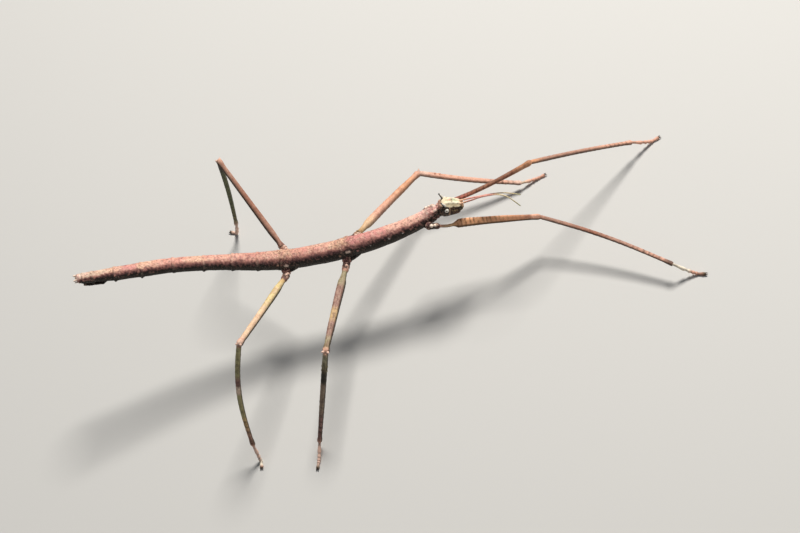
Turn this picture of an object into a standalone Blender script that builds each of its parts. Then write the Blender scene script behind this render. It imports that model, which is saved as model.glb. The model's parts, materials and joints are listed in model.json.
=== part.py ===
"""A grown female stick insect, life size, standing still on its six feet.

The body is a chain of short rigid lengths along one bent centre line. Head, thorax,
abdomen, feelers, eyes, horns and the four lengths of every leg are separate closed
solids that meet face to face with a small gap. The head points along +X, the
insect's left side along +Y, and the feet stand on z = 0. All sizes are in
millimetres and turn into metres when a mesh is made.
"""
import math

import bmesh
import bpy
from mathutils import Vector

MM = 0.001
GAP = 0.3

# The centre line: distance ahead of the middle coxae, climb and turn in degrees.
# Climb is upwards towards the head, turn is towards the insect's left.
THORAX_HEIGHT = 21.9
THORAX_SIDE = -1.8
BENDS = (
    (-68, -17, 3),
    (-50, -16.5, 3.5),
    (-40, -19, -1.5),
    (-26, -18, -5.5),
    (-18, -11.5, -5.5),
    (-10, -3, -4),
    (0, 0.8, -2),
    (10, 2.5, 3.5),
    (20, 7, 9),
    (23, 12, 12),
    (25.5, 3, 2),
    (32, -6, -3),
)
LINE_STEP = 0.5

# Where the lengths of the body meet, as distances along the centre line.
HEAD_FRONT = 31.5
NECK = 24.7
PROTHORAX_REAR = 21.2
MESOTHORAX_REAR = -1.4
METATHORAX_REAR = -17.2
ABDOMEN_LENGTHS = (6.1, 6.3, 7.2, 7.6, 8.0, 6.6, 5.6, 2.3, 1.6)
FIRST_ABDOMEN_NUMBER = 2

# Half thickness of the body at places along the line.
BODY_RADII = (
    (-68.6, 1.30),
    (-64, 1.42),
    (-58, 1.70),
    (-50, 1.85),
    (-34, 1.92),
    (-23, 2.30),
    (-17, 2.56),
    (-12, 2.52),
    (0, 2.60),
    (6, 2.46),
    (11, 2.36),
    (16, 2.12),
    (20, 2.02),
    (22.5, 1.88),
    (25, 1.70),
)
BODY_SIDES = 18
COLLAR_SWELL = 1.07
WAIST_PINCH = 0.985
COLLAR_REACH = 0.8
KNOB_RISE = 0.16
FLAT_BACK = 0.96

# The head: distance along the line, half width, half depth, lift of its middle.
HEAD_RINGS = (
    (24.9, 1.40, 1.40, 0.12),
    (25.4, 1.75, 1.85, 0.24),
    (26.3, 2.12, 2.42, 0.38),
    (27.2, 2.26, 2.60, 0.42),
    (28.2, 2.20, 2.45, 0.22),
    (29.2, 2.05, 2.20, -0.05),
    (30.1, 1.80, 1.85, -0.30),
    (30.9, 1.35, 1.35, -0.40),
    (31.5, 0.75, 0.75, -0.35),
)
HEAD_SIDES = 20
BROW_CREST = 0.06
EYE_AT = 27.3
EYE_RISE = 20
EYE_RADIUS = 0.66
EYE_OUT = 0.24
HORN_AT = 27.15
HORN_SIDE = 1.15
HORN_HEIGHT = 1.9
HORN_LEAN_BACK = 0.45
HORN_LEAN_OUT = 0.35
HORN_ROOT_RADIUS = 0.42
HORN_TIP_RADIUS = 0.18

# The mouth parts: place, side and height of root and tip, how far the middle hangs
# down, and the two jaws between them.
PALPS = (
    ((29.2, 0.88, -1.35), (30.5, 0.95, -2.35), 0.15),
    ((29.7, 0.40, -1.40), (30.95, 0.42, -2.05), 0.10),
)
PALP_RADIUS = 0.27
PALP_SWELL = (1.0, 0.95, 1.05, 0.9, 0.95, 0.6)
JAW = (30.85, 0.48, -0.85)
JAW_RADIUS = 0.52

# The feelers: distance along the line, side and height above the line at points
# that the two feelers pass through.
FEELER_LEFT = (
    (30.7, 0.50, 0.85),
    (31.8, 0.52, 0.95),
    (33.6, 0.84, 0.65),
    (35.7, 1.19, 0.23),
    (37.9, 1.61, -0.28),
    (40.3, 2.03, -1.03),
    (42.6, 2.44, -2.23),
    (45.7, 2.99, -4.77),
)
FEELER_RIGHT = (
    (30.7, -0.50, 0.85),
    (31.8, -0.58, 1.30),
    (33.8, -1.10, 2.50),
    (35.8, -1.40, 3.50),
    (38.1, -1.66, 4.01),
    (40.4, -1.84, 3.96),
    (42.7, -2.03, 2.40),
    (45.3, -2.32, -1.89),
)
FEELER_SIDES = 6
FEELER_RINGS = 18
FEELER_ROOT_RADIUS = 0.30
FEELER_RADIUS = 0.24
FEELER_TIP_RADIUS = 0.15

# The plate under the end of the abdomen and the two short tail lobes.
PLATE_FRONT = -61.1
PLATE_REAR = -66.6
PLATE_RADIUS = 1.62
PLATE_THICKNESS = 0.36
PLATE_SPREAD = 60
PLATE_DROP = 0.18
LOBE_RADIUS = 0.34
LOBE_LENGTH = 1.2

# The legs, one set of sizes for each pair. The hip is where coxa and femur meet, and
# the coxa grows from the body at its own place along the line.
PAIRS = {
    "fore": {
        "at": 22.0, "hip_side": 2.78, "hip_drop": 0.66,
        "coxa_at": 20.6, "coxa_side": 1.3, "coxa_drop": 0.8, "coxa_radius": 0.90,
        "femur": 28.95, "tibia": 35.9, "tarsus": 9.0, "ankle": 4.8,
        "femur_deep": 1.12, "femur_wide": 0.52, "femur_roll": 46, "femur_bow": -0.35,
        "knee": 0.80, "tibia_radius": 0.56, "tibia_end": 0.48,
        "teeth": 0.0, "lobes": 0.0,
    },
    "middle": {
        "at": 0.0, "hip_side": 3.8, "hip_drop": 1.7,
        "coxa_at": 0.0, "coxa_side": 0.9, "coxa_drop": 0.35, "coxa_radius": 1.08,
        "femur": 27.3, "tibia": 27.1, "tarsus": 6.8, "ankle": 1.9,
        "femur_deep": 1.08, "femur_wide": 1.02, "femur_roll": 0, "femur_bow": 0.25,
        "knee": 0.86, "tibia_radius": 0.70, "tibia_end": 0.50,
        "teeth": 0.75, "lobes": 0.8,
    },
    "hind": {
        "at": -16.1, "hip_side": 3.6, "hip_drop": 1.6,
        "coxa_at": -16.1, "coxa_side": 0.9, "coxa_drop": 0.35, "coxa_radius": 1.08,
        "femur": 28.6, "tibia": 30.7, "tarsus": 7.3, "ankle": 5.5,
        "femur_deep": 0.92, "femur_wide": 0.86, "femur_roll": 0, "femur_bow": 0.2,
        "knee": 0.84, "tibia_radius": 0.66, "tibia_end": 0.50,
        "teeth": 0.75, "lobes": 0.0,
    },
}

# The stance, in degrees: heading and climb of the femur, heading of tibia and foot.
# The last number is how far the tibia bows forwards at its middle.
STANCE = {
    ("fore", "right"): (6.5, -26.6, -35.3, -19, 0.9),
    ("fore", "left"): (3.0, 11.3, 28.9, 19, -0.4),
    ("middle", "right"): (-105.8, 9.3, -133.3, -105.7, 0.0),
    ("middle", "left"): (48.0, -16.2, -9.7, 14.4, -0.5),
    ("hind", "right"): (-114.8, 23.7, -120.3, -89.1, -2.0),
    ("hind", "left"): (115.3, 30.3, 165.8, 149.7, 0.9),
}
# How far hips stand off their even places in this stance, in millimetres forwards, to
# the left and up: a hip swings with its leg.
HIP_LEAN = {
    ("fore", "right"): (-0.54, -0.37, 0.52),
    ("fore", "left"): (0.13, 0.38, -1.24),
    ("middle", "right"): (-0.95, 0.0, 0.0),
    ("middle", "left"): (2.0, -0.2, 0.0),
    ("hind", "right"): (0.3, 0.0, 0.0),
}
# How far the middle of a femur stands off the straight line from hip to knee, in
# millimetres forwards, to the left and up.
FEMUR_BEND = {
    ("fore", "left"): (0.0, 0.0, -0.8),
    ("middle", "right"): (-0.20, 0.07, 0.0),
    ("middle", "left"): (-0.14, 0.20, 0.16),
}
SIDES = {"left": 1, "right": -1}
LEG_SIDES = 8
KEEL = 0.09
KNEE_ROUND = 0.55
FORE_NECK_START = 0.07
FORE_NECK_END = 0.19
FORE_SWELL_END = 0.245
FORE_NECK_RADIUS = 0.38
FORE_NECK_BEND = 0.45
FORE_NECK_BEND_AT = 0.15
FORE_NECK_BEND_REACH = 0.08
SOLE_LIFT = 0.34
FLAT_FOOT = 1.7
FOOT_CURVE = 1.25
TARSOMERE_ENDS = (0.0, 0.40, 0.56, 0.68, 0.77, 1.0)
TARSUS_RADIUS = 0.42
CLAW_LENGTH = 1.0
CLAW_RADIUS = 0.26
CLAW_SPREAD = 24

# The box of the whole insect is centred on the origin by this shift.
CENTRE_AHEAD = 9.0
CENTRE_SIDE = -10.0

PINK_BROWN = (0.36, 0.21, 0.16)
DARK_BROWN = (0.12, 0.07, 0.06)
CREAM = (0.66, 0.62, 0.44)
ORANGE_TAN = (0.48, 0.26, 0.13)
YELLOW_TAN = (0.45, 0.32, 0.17)
OLIVE_BROWN = (0.25, 0.21, 0.12)
PALE_PINK = (0.58, 0.44, 0.36)
PALE_YELLOW = (0.63, 0.55, 0.33)
EYE_GREY = (0.62, 0.58, 0.50)


def between(table, place):
    """Read a smooth value from rows of (place, value, ...) sorted by place."""
    if place <= table[0][0]:
        return table[0][1:]
    for low, high in zip(table, table[1:]):
        if place <= high[0]:
            share = (place - low[0]) / (high[0] - low[0])
            eased = share * share * (3 - 2 * share)
            return tuple(a + (b - a) * eased for a, b in zip(low[1:], high[1:]))
    return table[-1][1:]


def heading(turn, climb):
    """A unit vector from two angles in degrees."""
    turn = math.radians(turn)
    climb = math.radians(climb)
    return Vector((math.cos(turn) * math.cos(climb),
                   math.sin(turn) * math.cos(climb),
                   math.sin(climb)))


def line_heading(place):
    """The direction of the centre line towards the head."""
    climb, turn = between(BENDS, place)
    return heading(turn, climb)


def line_point(place):
    """The point of the centre line at a distance ahead of the middle coxae."""
    count = max(1, round(abs(place) / LINE_STEP))
    step = place / count
    point = Vector((0, THORAX_SIDE, THORAX_HEIGHT))
    for index in range(count):
        point = point + line_heading(step * (index + 0.5)) * step
    return point


def line_frame(place):
    """The point, and the forward, left and up directions of the body there."""
    forward = line_heading(place)
    left = Vector((0, 0, 1)).cross(forward).normalized()
    return line_point(place), forward, left, forward.cross(left)


def on_body(place, side, rise):
    """A point beside and above the centre line."""
    point, _, left, up = line_frame(place)
    return point + left * side + up * rise


def loft(rings, crescent=False):
    """A closed shell through rings of points, with a fan on each end.

    A crescent ring runs out along its outer arc and back along its inner arc, so
    each of its ends is closed by a strip between the two arcs.
    """
    points = []
    faces = []
    count = len(rings[0])
    for ring in rings:
        points.extend(ring)
    for row in range(len(rings) - 1):
        for index in range(count):
            after = (index + 1) % count
            low = row * count
            faces.append((low + index, low + after, low + count + after, low + count + index))
    if crescent:
        for low in (0, (len(rings) - 1) * count):
            for index in range(count // 2 - 1):
                across = count - 1 - index
                faces.append((low + index, low + index + 1, low + across - 1, low + across))
        return points, faces
    for row, ring in ((0, rings[0]), (len(rings) - 1, rings[-1])):
        middle = sum(ring, Vector()) / count
        points.append(middle)
        for index in range(count):
            faces.append((len(points) - 1, row * count + index, row * count + (index + 1) % count))
    return points, faces


def tube(path, radii, sides):
    """A round tube through the points of a path."""
    rings = []
    for index, point in enumerate(path):
        along = (path[min(index + 1, len(path) - 1)] - path[max(index - 1, 0)]).normalized()
        side = along.cross(Vector((0, 0, 1)))
        side = side.normalized() if side.length > 0.05 else along.cross(Vector((1, 0, 0))).normalized()
        up = side.cross(along)
        ring = []
        for corner in range(sides):
            angle = math.tau * corner / sides
            ring.append(point + (side * math.cos(angle) + up * math.sin(angle)) * radii[index])
        rings.append(ring)
    return loft(rings)


def smooth_path(points, count):
    """Even samples of a smooth curve through the points."""
    ends = [points[0] * 2 - points[1]] + list(points) + [points[-1] * 2 - points[-2]]
    result = []
    for index in range(count + 1):
        where = index / count * (len(points) - 1)
        low = min(int(where), len(points) - 2)
        share = where - low
        a, b, c, d = ends[low:low + 4]
        result.append(0.5 * (b * 2 + (c - a) * share + (a * 2 - b * 5 + c * 4 - d) * share ** 2
                             + (b * 3 - a - c * 3 + d) * share ** 3))
    return result


def ball(centre, radius, rows=8, sides=12):
    """A closed ball made of rings."""
    path = []
    radii = []
    for row in range(rows + 1):
        angle = math.pi * (row + 0.35) / (rows + 0.7)
        path.append(centre + Vector((-math.cos(angle) * radius, 0, 0)))
        radii.append(math.sin(angle) * radius)
    return tube(path, radii, sides)


def mesh_object(name, shell):
    """A plain mesh object from a shell, with its faces turned outwards."""
    points, faces = shell
    mesh = bpy.data.meshes.new(name)
    mesh.from_pydata([tuple(point * MM) for point in points], [], faces)
    work = bmesh.new()
    work.from_mesh(mesh)
    bmesh.ops.triangulate(work, faces=work.faces[:])
    bmesh.ops.recalc_face_normals(work, faces=work.faces[:])
    work.to_mesh(mesh)
    work.free()
    piece = bpy.data.objects.new(name, mesh)
    bpy.context.scene.collection.objects.link(piece)
    return piece


def keep_largest(mesh):
    """Drop every closed surface of a mesh but the one with the most faces."""
    work = bmesh.new()
    work.from_mesh(mesh)
    left = set(work.faces)
    best = set()
    while left:
        island = set()
        edge = [next(iter(left))]
        while edge:
            face = edge.pop()
            if face in island:
                continue
            island.add(face)
            edge.extend(other for side in face.edges for other in side.link_faces)
        left -= island
        if len(island) > len(best):
            best = island
    extra = [face for face in work.faces if face not in best]
    bmesh.ops.delete(work, geom=extra, context="FACES")
    loose = [point for point in work.verts if not point.link_faces]
    bmesh.ops.delete(work, geom=loose, context="VERTS")
    work.to_mesh(mesh)
    work.free()


def combine(piece, shells, operation):
    """Join shells to a piece, or cut them from it, in one Boolean step."""
    group = bpy.data.collections.new("tools")
    bpy.context.scene.collection.children.link(group)
    tools = []
    for shell in shells:
        tool = mesh_object("tool", shell)
        bpy.context.scene.collection.objects.unlink(tool)
        group.objects.link(tool)
        tools.append(tool)
    step = piece.modifiers.new("step", "BOOLEAN")
    step.operation = operation
    step.operand_type = "COLLECTION"
    step.collection = group
    step.solver = "EXACT"
    bpy.context.view_layer.update()
    graph = bpy.context.evaluated_depsgraph_get()
    result = bpy.data.meshes.new_from_object(piece.evaluated_get(graph))
    piece.modifiers.remove(step)
    old = piece.data
    piece.data = result
    bpy.data.meshes.remove(old)
    for tool in tools:
        shape = tool.data
        bpy.data.objects.remove(tool)
        bpy.data.meshes.remove(shape)
    bpy.data.collections.remove(group)
    keep_largest(piece.data)


def finish(colour, roughness):
    """A material in the colour of a part."""
    name = "finish_%d_%d_%d" % tuple(round(part * 100) for part in colour)
    material = bpy.data.materials.get(name)
    if material is None:
        material = bpy.data.materials.new(name)
        material.use_nodes = True
        shader = material.node_tree.nodes["Principled BSDF"]
        shader.inputs["Base Color"].default_value = (*colour, 1)
        shader.inputs["Roughness"].default_value = roughness
        shader.inputs["Metallic"].default_value = 0.0
    return material


def part(name, root, shell, colour, roughness=0.6, joined=(), cut=()):
    """One named sub-part: its shell, what is fused to it and what is cut away."""
    piece = mesh_object(name, shell)
    if joined:
        combine(piece, joined, "UNION")
    if cut:
        combine(piece, cut, "DIFFERENCE")
    for point in piece.data.vertices:
        point.co = point.co - root * MM
    piece.location = root * MM
    piece.parent = insect
    piece.data.materials.clear()
    piece.data.materials.append(finish(colour, roughness))
    piece.data.shade_smooth()
    piece.data.set_sharp_from_angle(angle=math.radians(40))
    return piece


# Body


def body_ring(place, radius, grow=0.0, knob=0.0):
    """One ring round the centre line, a little flat on the back."""
    centre, _, left, up = line_frame(place)
    ring = []
    for corner in range(BODY_SIDES):
        angle = math.tau * corner / BODY_SIDES
        reach = radius + knob * max(0.0, math.cos((abs(math.sin(angle)) - 1) * 6)) * abs(math.sin(angle)) ** 8
        height = math.sin(angle) * (FLAT_BACK if math.sin(angle) > 0 else 1.0)
        ring.append(centre + left * math.cos(angle) * (reach + grow) + up * height * (reach + grow))
    return ring


def body_places(rear, front, middle_steps):
    """Where the rings of one length of the body stand."""
    reach = min(COLLAR_REACH, (front - rear) * 0.25)
    inner = [rear + reach + (front - rear - 2 * reach) * index / middle_steps
             for index in range(middle_steps + 1)]
    return [rear, rear + reach * 0.5] + inner + [front - reach * 0.5, front]


def body_length(rear, front, middle_steps=3, collar=True, grow=0.0):
    """A length of the body, swollen at its rear collar and pinched behind its front."""
    rings = []
    for place in body_places(rear, front, middle_steps):
        radius = between(BODY_RADII, place)[0]
        share = (place - rear) / (front - rear)
        knob = 0.0
        if collar and share < 0.12:
            radius *= COLLAR_SWELL
            knob = KNOB_RISE
        elif collar and share < 0.9:
            radius *= WAIST_PINCH
        rings.append(body_ring(place, radius, grow, knob))
    return loft(rings)


def make_thorax():
    """Prothorax, mesothorax and metathorax."""
    for name, rear, front, steps in (
            ("prothorax", PROTHORAX_REAR, NECK, 2),
            ("mesothorax", MESOTHORAX_REAR, PROTHORAX_REAR, 8),
            ("metathorax", METATHORAX_REAR, MESOTHORAX_REAR, 6)):
        shell = body_length(rear + GAP / 2, front - GAP / 2, steps)
        part(name, line_point(front), shell, PINK_BROWN)


def tail_lobe(place, side):
    """A short lobe at the end of the last ring of the abdomen."""
    root = on_body(place + 0.9, side * 0.55, 0.25)
    tip = on_body(place - LOBE_LENGTH * 0.5, side * 0.75, 0.40)
    path = [root, root.lerp(tip, 0.6), tip]
    return tube(path, (LOBE_RADIUS, LOBE_RADIUS * 0.95, LOBE_RADIUS * 0.6), 8)


def make_abdomen():
    """The rings of the abdomen, from the thorax to the tail, and the plate below."""
    front = METATHORAX_REAR
    for index, length in enumerate(ABDOMEN_LENGTHS):
        number = FIRST_ABDOMEN_NUMBER + index
        rear = front - length
        last = index == len(ABDOMEN_LENGTHS) - 1
        steps = 3 if length > 3 else 1
        shell = body_length(rear + (0 if last else GAP / 2), front - GAP / 2, steps, collar=not last)
        lobes = [tail_lobe(rear, side) for side in (1, -1)] if last else ()
        part("abdomen_%d" % number, line_point(front), shell, PINK_BROWN, joined=lobes)
        front = rear


def make_tail_plate():
    """The scoop-shaped plate that lies under the end of the abdomen."""
    rings = []
    steps = 6
    for step in range(steps + 1):
        share = step / steps
        place = PLATE_FRONT + (PLATE_REAR - PLATE_FRONT) * share
        centre, _, left, up = line_frame(place)
        outer = max(PLATE_RADIUS, between(BODY_RADII, place)[0] + GAP + PLATE_THICKNESS)
        spread = math.radians(PLATE_SPREAD * (1 - 0.55 * share ** 2))
        drop = PLATE_DROP * share ** 2
        ring = []
        for radius, way in ((outer, 1), (outer - PLATE_THICKNESS, -1)):
            for corner in range(6):
                angle = -math.pi / 2 + way * spread * (corner / 2.5 - 1)
                ring.append(centre + left * math.cos(angle) * radius
                            + up * (math.sin(angle) * radius - drop))
        rings.append(ring)
    part("tail_plate", line_point(PLATE_FRONT), loft(rings, crescent=True), DARK_BROWN)


# Head


def head_shell(grow=0.0):
    """The head capsule, deep behind the eyes and low at the mouth."""
    rings = []
    for place, wide, deep, lift in HEAD_RINGS:
        centre, _, left, up = line_frame(place)
        ring = []
        for corner in range(HEAD_SIDES):
            angle = math.tau * corner / HEAD_SIDES
            crest = 1 + BROW_CREST * math.cos(4 * (angle - math.radians(60))) * max(0, math.sin(angle))
            ring.append(centre + left * math.cos(angle) * (wide * crest + grow)
                        + up * (lift + math.sin(angle) * (deep * crest + grow)))
        rings.append(ring)
    if grow:
        for end, way in ((0, -1), (-1, 1)):
            _, forward, _, _ = line_frame(HEAD_RINGS[end][0])
            rings[end] = [point + forward * way * grow for point in rings[end]]
    return loft(rings)


def eye_centre(side):
    """The middle of one eye, mostly sunk in the side of the head."""
    wide, deep, lift = between(HEAD_RINGS, EYE_AT)
    angle = math.radians(EYE_RISE)
    out = (math.cos(angle) * wide, math.sin(angle) * deep)
    share = 1 - (EYE_RADIUS - EYE_OUT) / math.hypot(*out)
    return on_body(EYE_AT, side * out[0] * share, lift + out[1] * share)


def palp(start, finish_at, droop):
    """One mouth feeler, bent down between its two ends."""
    root = on_body(*start)
    tip = on_body(*finish_at)
    bend = root.lerp(tip, 0.55) + Vector((0, 0, -droop))
    path = smooth_path([root, bend, tip], 5)
    radii = [PALP_RADIUS * size for size in PALP_SWELL]
    return tube(path, radii, 6)


def make_head():
    """The head with its mouth parts, its two eyes and its two horns."""
    mouth = []
    for side in (1, -1):
        for root, tip, droop in PALPS:
            mouth.append(palp((root[0], side * root[1], root[2]), (tip[0], side * tip[1], tip[2]), droop))
        mouth.append(ball(on_body(JAW[0], side * JAW[1], JAW[2]), JAW_RADIUS, 6, 10))
    sockets = [ball(eye_centre(side), EYE_RADIUS + GAP) for side in (1, -1)]
    part("head", line_point(NECK), head_shell(), CREAM, joined=mouth, cut=sockets)
    for word, side in SIDES.items():
        centre = eye_centre(side)
        part("eye_" + word, centre, ball(centre, EYE_RADIUS, 10, 14), EYE_GREY, 0.25)
        wide, deep, lift = between(HEAD_RINGS, HORN_AT)
        rise = lift + deep * math.sqrt(1 - (HORN_SIDE / wide) ** 2)
        _, forward, left, up = line_frame(HORN_AT)
        root = on_body(HORN_AT, side * HORN_SIDE, rise - 0.3)
        lean = -forward * HORN_LEAN_BACK + left * side * HORN_LEAN_OUT
        tip = root + up * (HORN_HEIGHT + 0.3) + lean
        path = [root.lerp(tip, share) for share in (0, 0.3, 0.6, 0.85, 1)]
        radii = [HORN_ROOT_RADIUS + (HORN_TIP_RADIUS - HORN_ROOT_RADIUS) * share
                 for share in (0, 0.25, 0.55, 0.8, 1)]
        part("horn_" + word, root, tube(path, radii, 8), DARK_BROWN, cut=[head_shell(GAP)])


def make_feelers():
    """The two thread-like feelers, from the brow to their tips."""
    for name, places in (("feeler_left", FEELER_LEFT), ("feeler_right", FEELER_RIGHT)):
        reach = line_heading(HEAD_FRONT)
        front = line_point(HEAD_FRONT)
        points = []
        for place, side, rise in places:
            if place <= HEAD_FRONT:
                points.append(on_body(place, side, rise))
            else:
                _, _, left, up = line_frame(HEAD_FRONT)
                points.append(front + reach * (place - HEAD_FRONT) + left * side + up * rise)
        path = smooth_path(points, FEELER_RINGS)
        radii = []
        for index in range(FEELER_RINGS + 1):
            share = index / FEELER_RINGS
            radius = FEELER_RADIUS + (FEELER_TIP_RADIUS - FEELER_RADIUS) * share ** 1.5
            radii.append(FEELER_ROOT_RADIUS if share < 0.16 else radius)
        part(name, points[0], tube(path, radii, FEELER_SIDES), PALE_YELLOW, cut=[head_shell(GAP)])


# Legs


def limb(root, tip, size, start_normal, end_normal, stations, bow=None, roll=0.0, grow=0.0, ease=3):
    """A long tapered leg length with slanted flat ends.

    size gives the half depth and half width at a share of the length. The rings
    shear towards the ends so that the end faces lie in the planes of the joints.
    """
    axis = tip - root
    along = axis.normalized()
    side = along.cross(Vector((0, 0, 1))).normalized()
    up = side.cross(along)
    turned_up = up * math.cos(roll) + side * math.sin(roll)
    turned_side = side * math.cos(roll) - up * math.sin(roll)
    rings = []
    for share in stations:
        deep, wide = size(share)
        centre = root + axis * share
        if bow is not None:
            centre = centre + bow(share)
        ring = []
        for corner in range(LEG_SIDES):
            angle = math.tau * corner / LEG_SIDES
            ridge = 1 - KEEL * math.cos(4 * angle)
            offset = (turned_up * math.sin(angle) * (deep * ridge + grow)
                      + turned_side * math.cos(angle) * (wide * ridge + grow))
            first = -offset.dot(start_normal) / along.dot(start_normal)
            last = -offset.dot(end_normal) / along.dot(end_normal)
            ring.append(centre + offset + along * (first * (1 - share) ** ease + last * share ** ease))
        rings.append(ring)
    return loft(rings)


def foot_path(ankle, turn, length):
    """Points from the ankle down to the floor, then flat along it."""
    drop = ankle.z - SOLE_LIFT

    def points(reach):
        slope = max(reach - FLAT_FOOT, 0.1)
        result = []
        steps = 20
        for step in range(steps + 1):
            out = reach * step / steps
            left_over = max(0.0, 1 - out / slope)
            result.append(ankle + heading(turn, 0) * out
                          + Vector((0, 0, SOLE_LIFT - ankle.z + drop * left_over ** FOOT_CURVE)))
        return result

    low = 0.0
    high = length
    for _ in range(30):
        middle = (low + high) / 2
        trial = points(middle)
        run = sum((b - a).length for a, b in zip(trial, trial[1:]))
        if run > length:
            high = middle
        else:
            low = middle
    return points(low)


def joints_of_leg(pair, side_word):
    """The hip, knee, ankle and foot path of one leg in its stance."""
    sizes = PAIRS[pair]
    side = SIDES[side_word]
    femur_turn, femur_climb, tibia_turn, foot_turn, _ = STANCE[(pair, side_word)]
    hip = on_body(sizes["at"], side * sizes["hip_side"], -sizes["hip_drop"])
    hip = hip + Vector(HIP_LEAN.get((pair, side_word), (0, 0, 0)))
    knee = hip + heading(femur_turn, femur_climb) * sizes["femur"]
    fall = math.degrees(math.asin((knee.z - sizes["ankle"]) / sizes["tibia"]))
    ankle = knee + heading(tibia_turn, -fall) * sizes["tibia"]
    return hip, knee, ankle, foot_path(ankle, foot_turn, sizes["tarsus"])


def femur_size(sizes, pair):
    """Half depth and half width of a femur at a share of its length."""
    knob = 0.9

    def size(share):
        if pair == "fore":
            table = ((0.0, 0.80, 0.80), (0.045, 0.78, 0.78), (FORE_NECK_START, FORE_NECK_RADIUS, FORE_NECK_RADIUS),
                     (FORE_NECK_END, 0.42, 0.38), (FORE_SWELL_END, sizes["femur_deep"], sizes["femur_wide"]),
                     (0.6, sizes["femur_deep"] * 0.88, sizes["femur_wide"] * 1.02),
                     (0.93, sizes["knee"] * 0.96, sizes["knee"] * 0.88), (0.98, sizes["knee"], sizes["knee"]),
                     (1.0, sizes["knee"] * knob, sizes["knee"] * knob))
        else:
            table = ((0.0, 0.92, 0.92), (0.03, 0.96, 0.96), (0.055, 0.78, 0.78), (0.10, 0.86, 0.84),
                     (0.24, sizes["femur_deep"], sizes["femur_wide"]),
                     (0.7, sizes["femur_deep"] * 0.86, sizes["femur_wide"] * 0.86),
                     (0.93, sizes["knee"] * 0.92, sizes["knee"] * 0.86), (0.98, sizes["knee"], sizes["knee"]),
                     (1.0, sizes["knee"] * knob, sizes["knee"] * knob))
        return between(table, share)

    return size


def femur_shell(pair, side_word, root, knee, start_normal, grow=0.0):
    """The femur with the trochanter at its root and a rounded knee."""
    sizes = PAIRS[pair]
    side = SIDES[side_word]
    along = (knee - root).normalized()
    outward = Vector((0, side, 0)) if pair == "fore" else along.cross(Vector((0, 0, 1))).cross(along) * -1
    amount = sizes["femur_bow"]
    bend = Vector(FEMUR_BEND.get((pair, side_word), (0, 0, 0)))

    def bow(share):
        offset = amount * math.sin(math.pi * share)
        if pair == "fore":
            away = (share - FORE_NECK_BEND_AT) / FORE_NECK_BEND_REACH
            offset += FORE_NECK_BEND * math.exp(-away * away)
        return outward * offset + bend * math.sin(math.pi * share)

    stations = ((0, 0.045, 0.07, 0.12, 0.18, 0.215, 0.25, 0.36, 0.5, 0.66, 0.82, 0.93, 0.98, 1.0)
                if pair == "fore" else
                (0, 0.03, 0.055, 0.10, 0.17, 0.3, 0.46, 0.62, 0.78, 0.92, 0.98, 1.0))
    roll = math.radians(sizes["femur_roll"]) * side * math.copysign(1, along.x)
    points, faces = limb(root, knee, femur_size(sizes, pair), start_normal, along, stations,
                         bow=bow, roll=roll, grow=grow)
    points[-1] = points[-1] + along * (sizes["knee"] * KNEE_ROUND + grow)
    return points, faces


def spike(root, tip, radius):
    """A small tooth with its root sunk in what it grows from."""
    path = [root, root.lerp(tip, 0.6), tip]
    return tube(path, (radius, radius * 0.75, radius * 0.3), 5)


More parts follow.
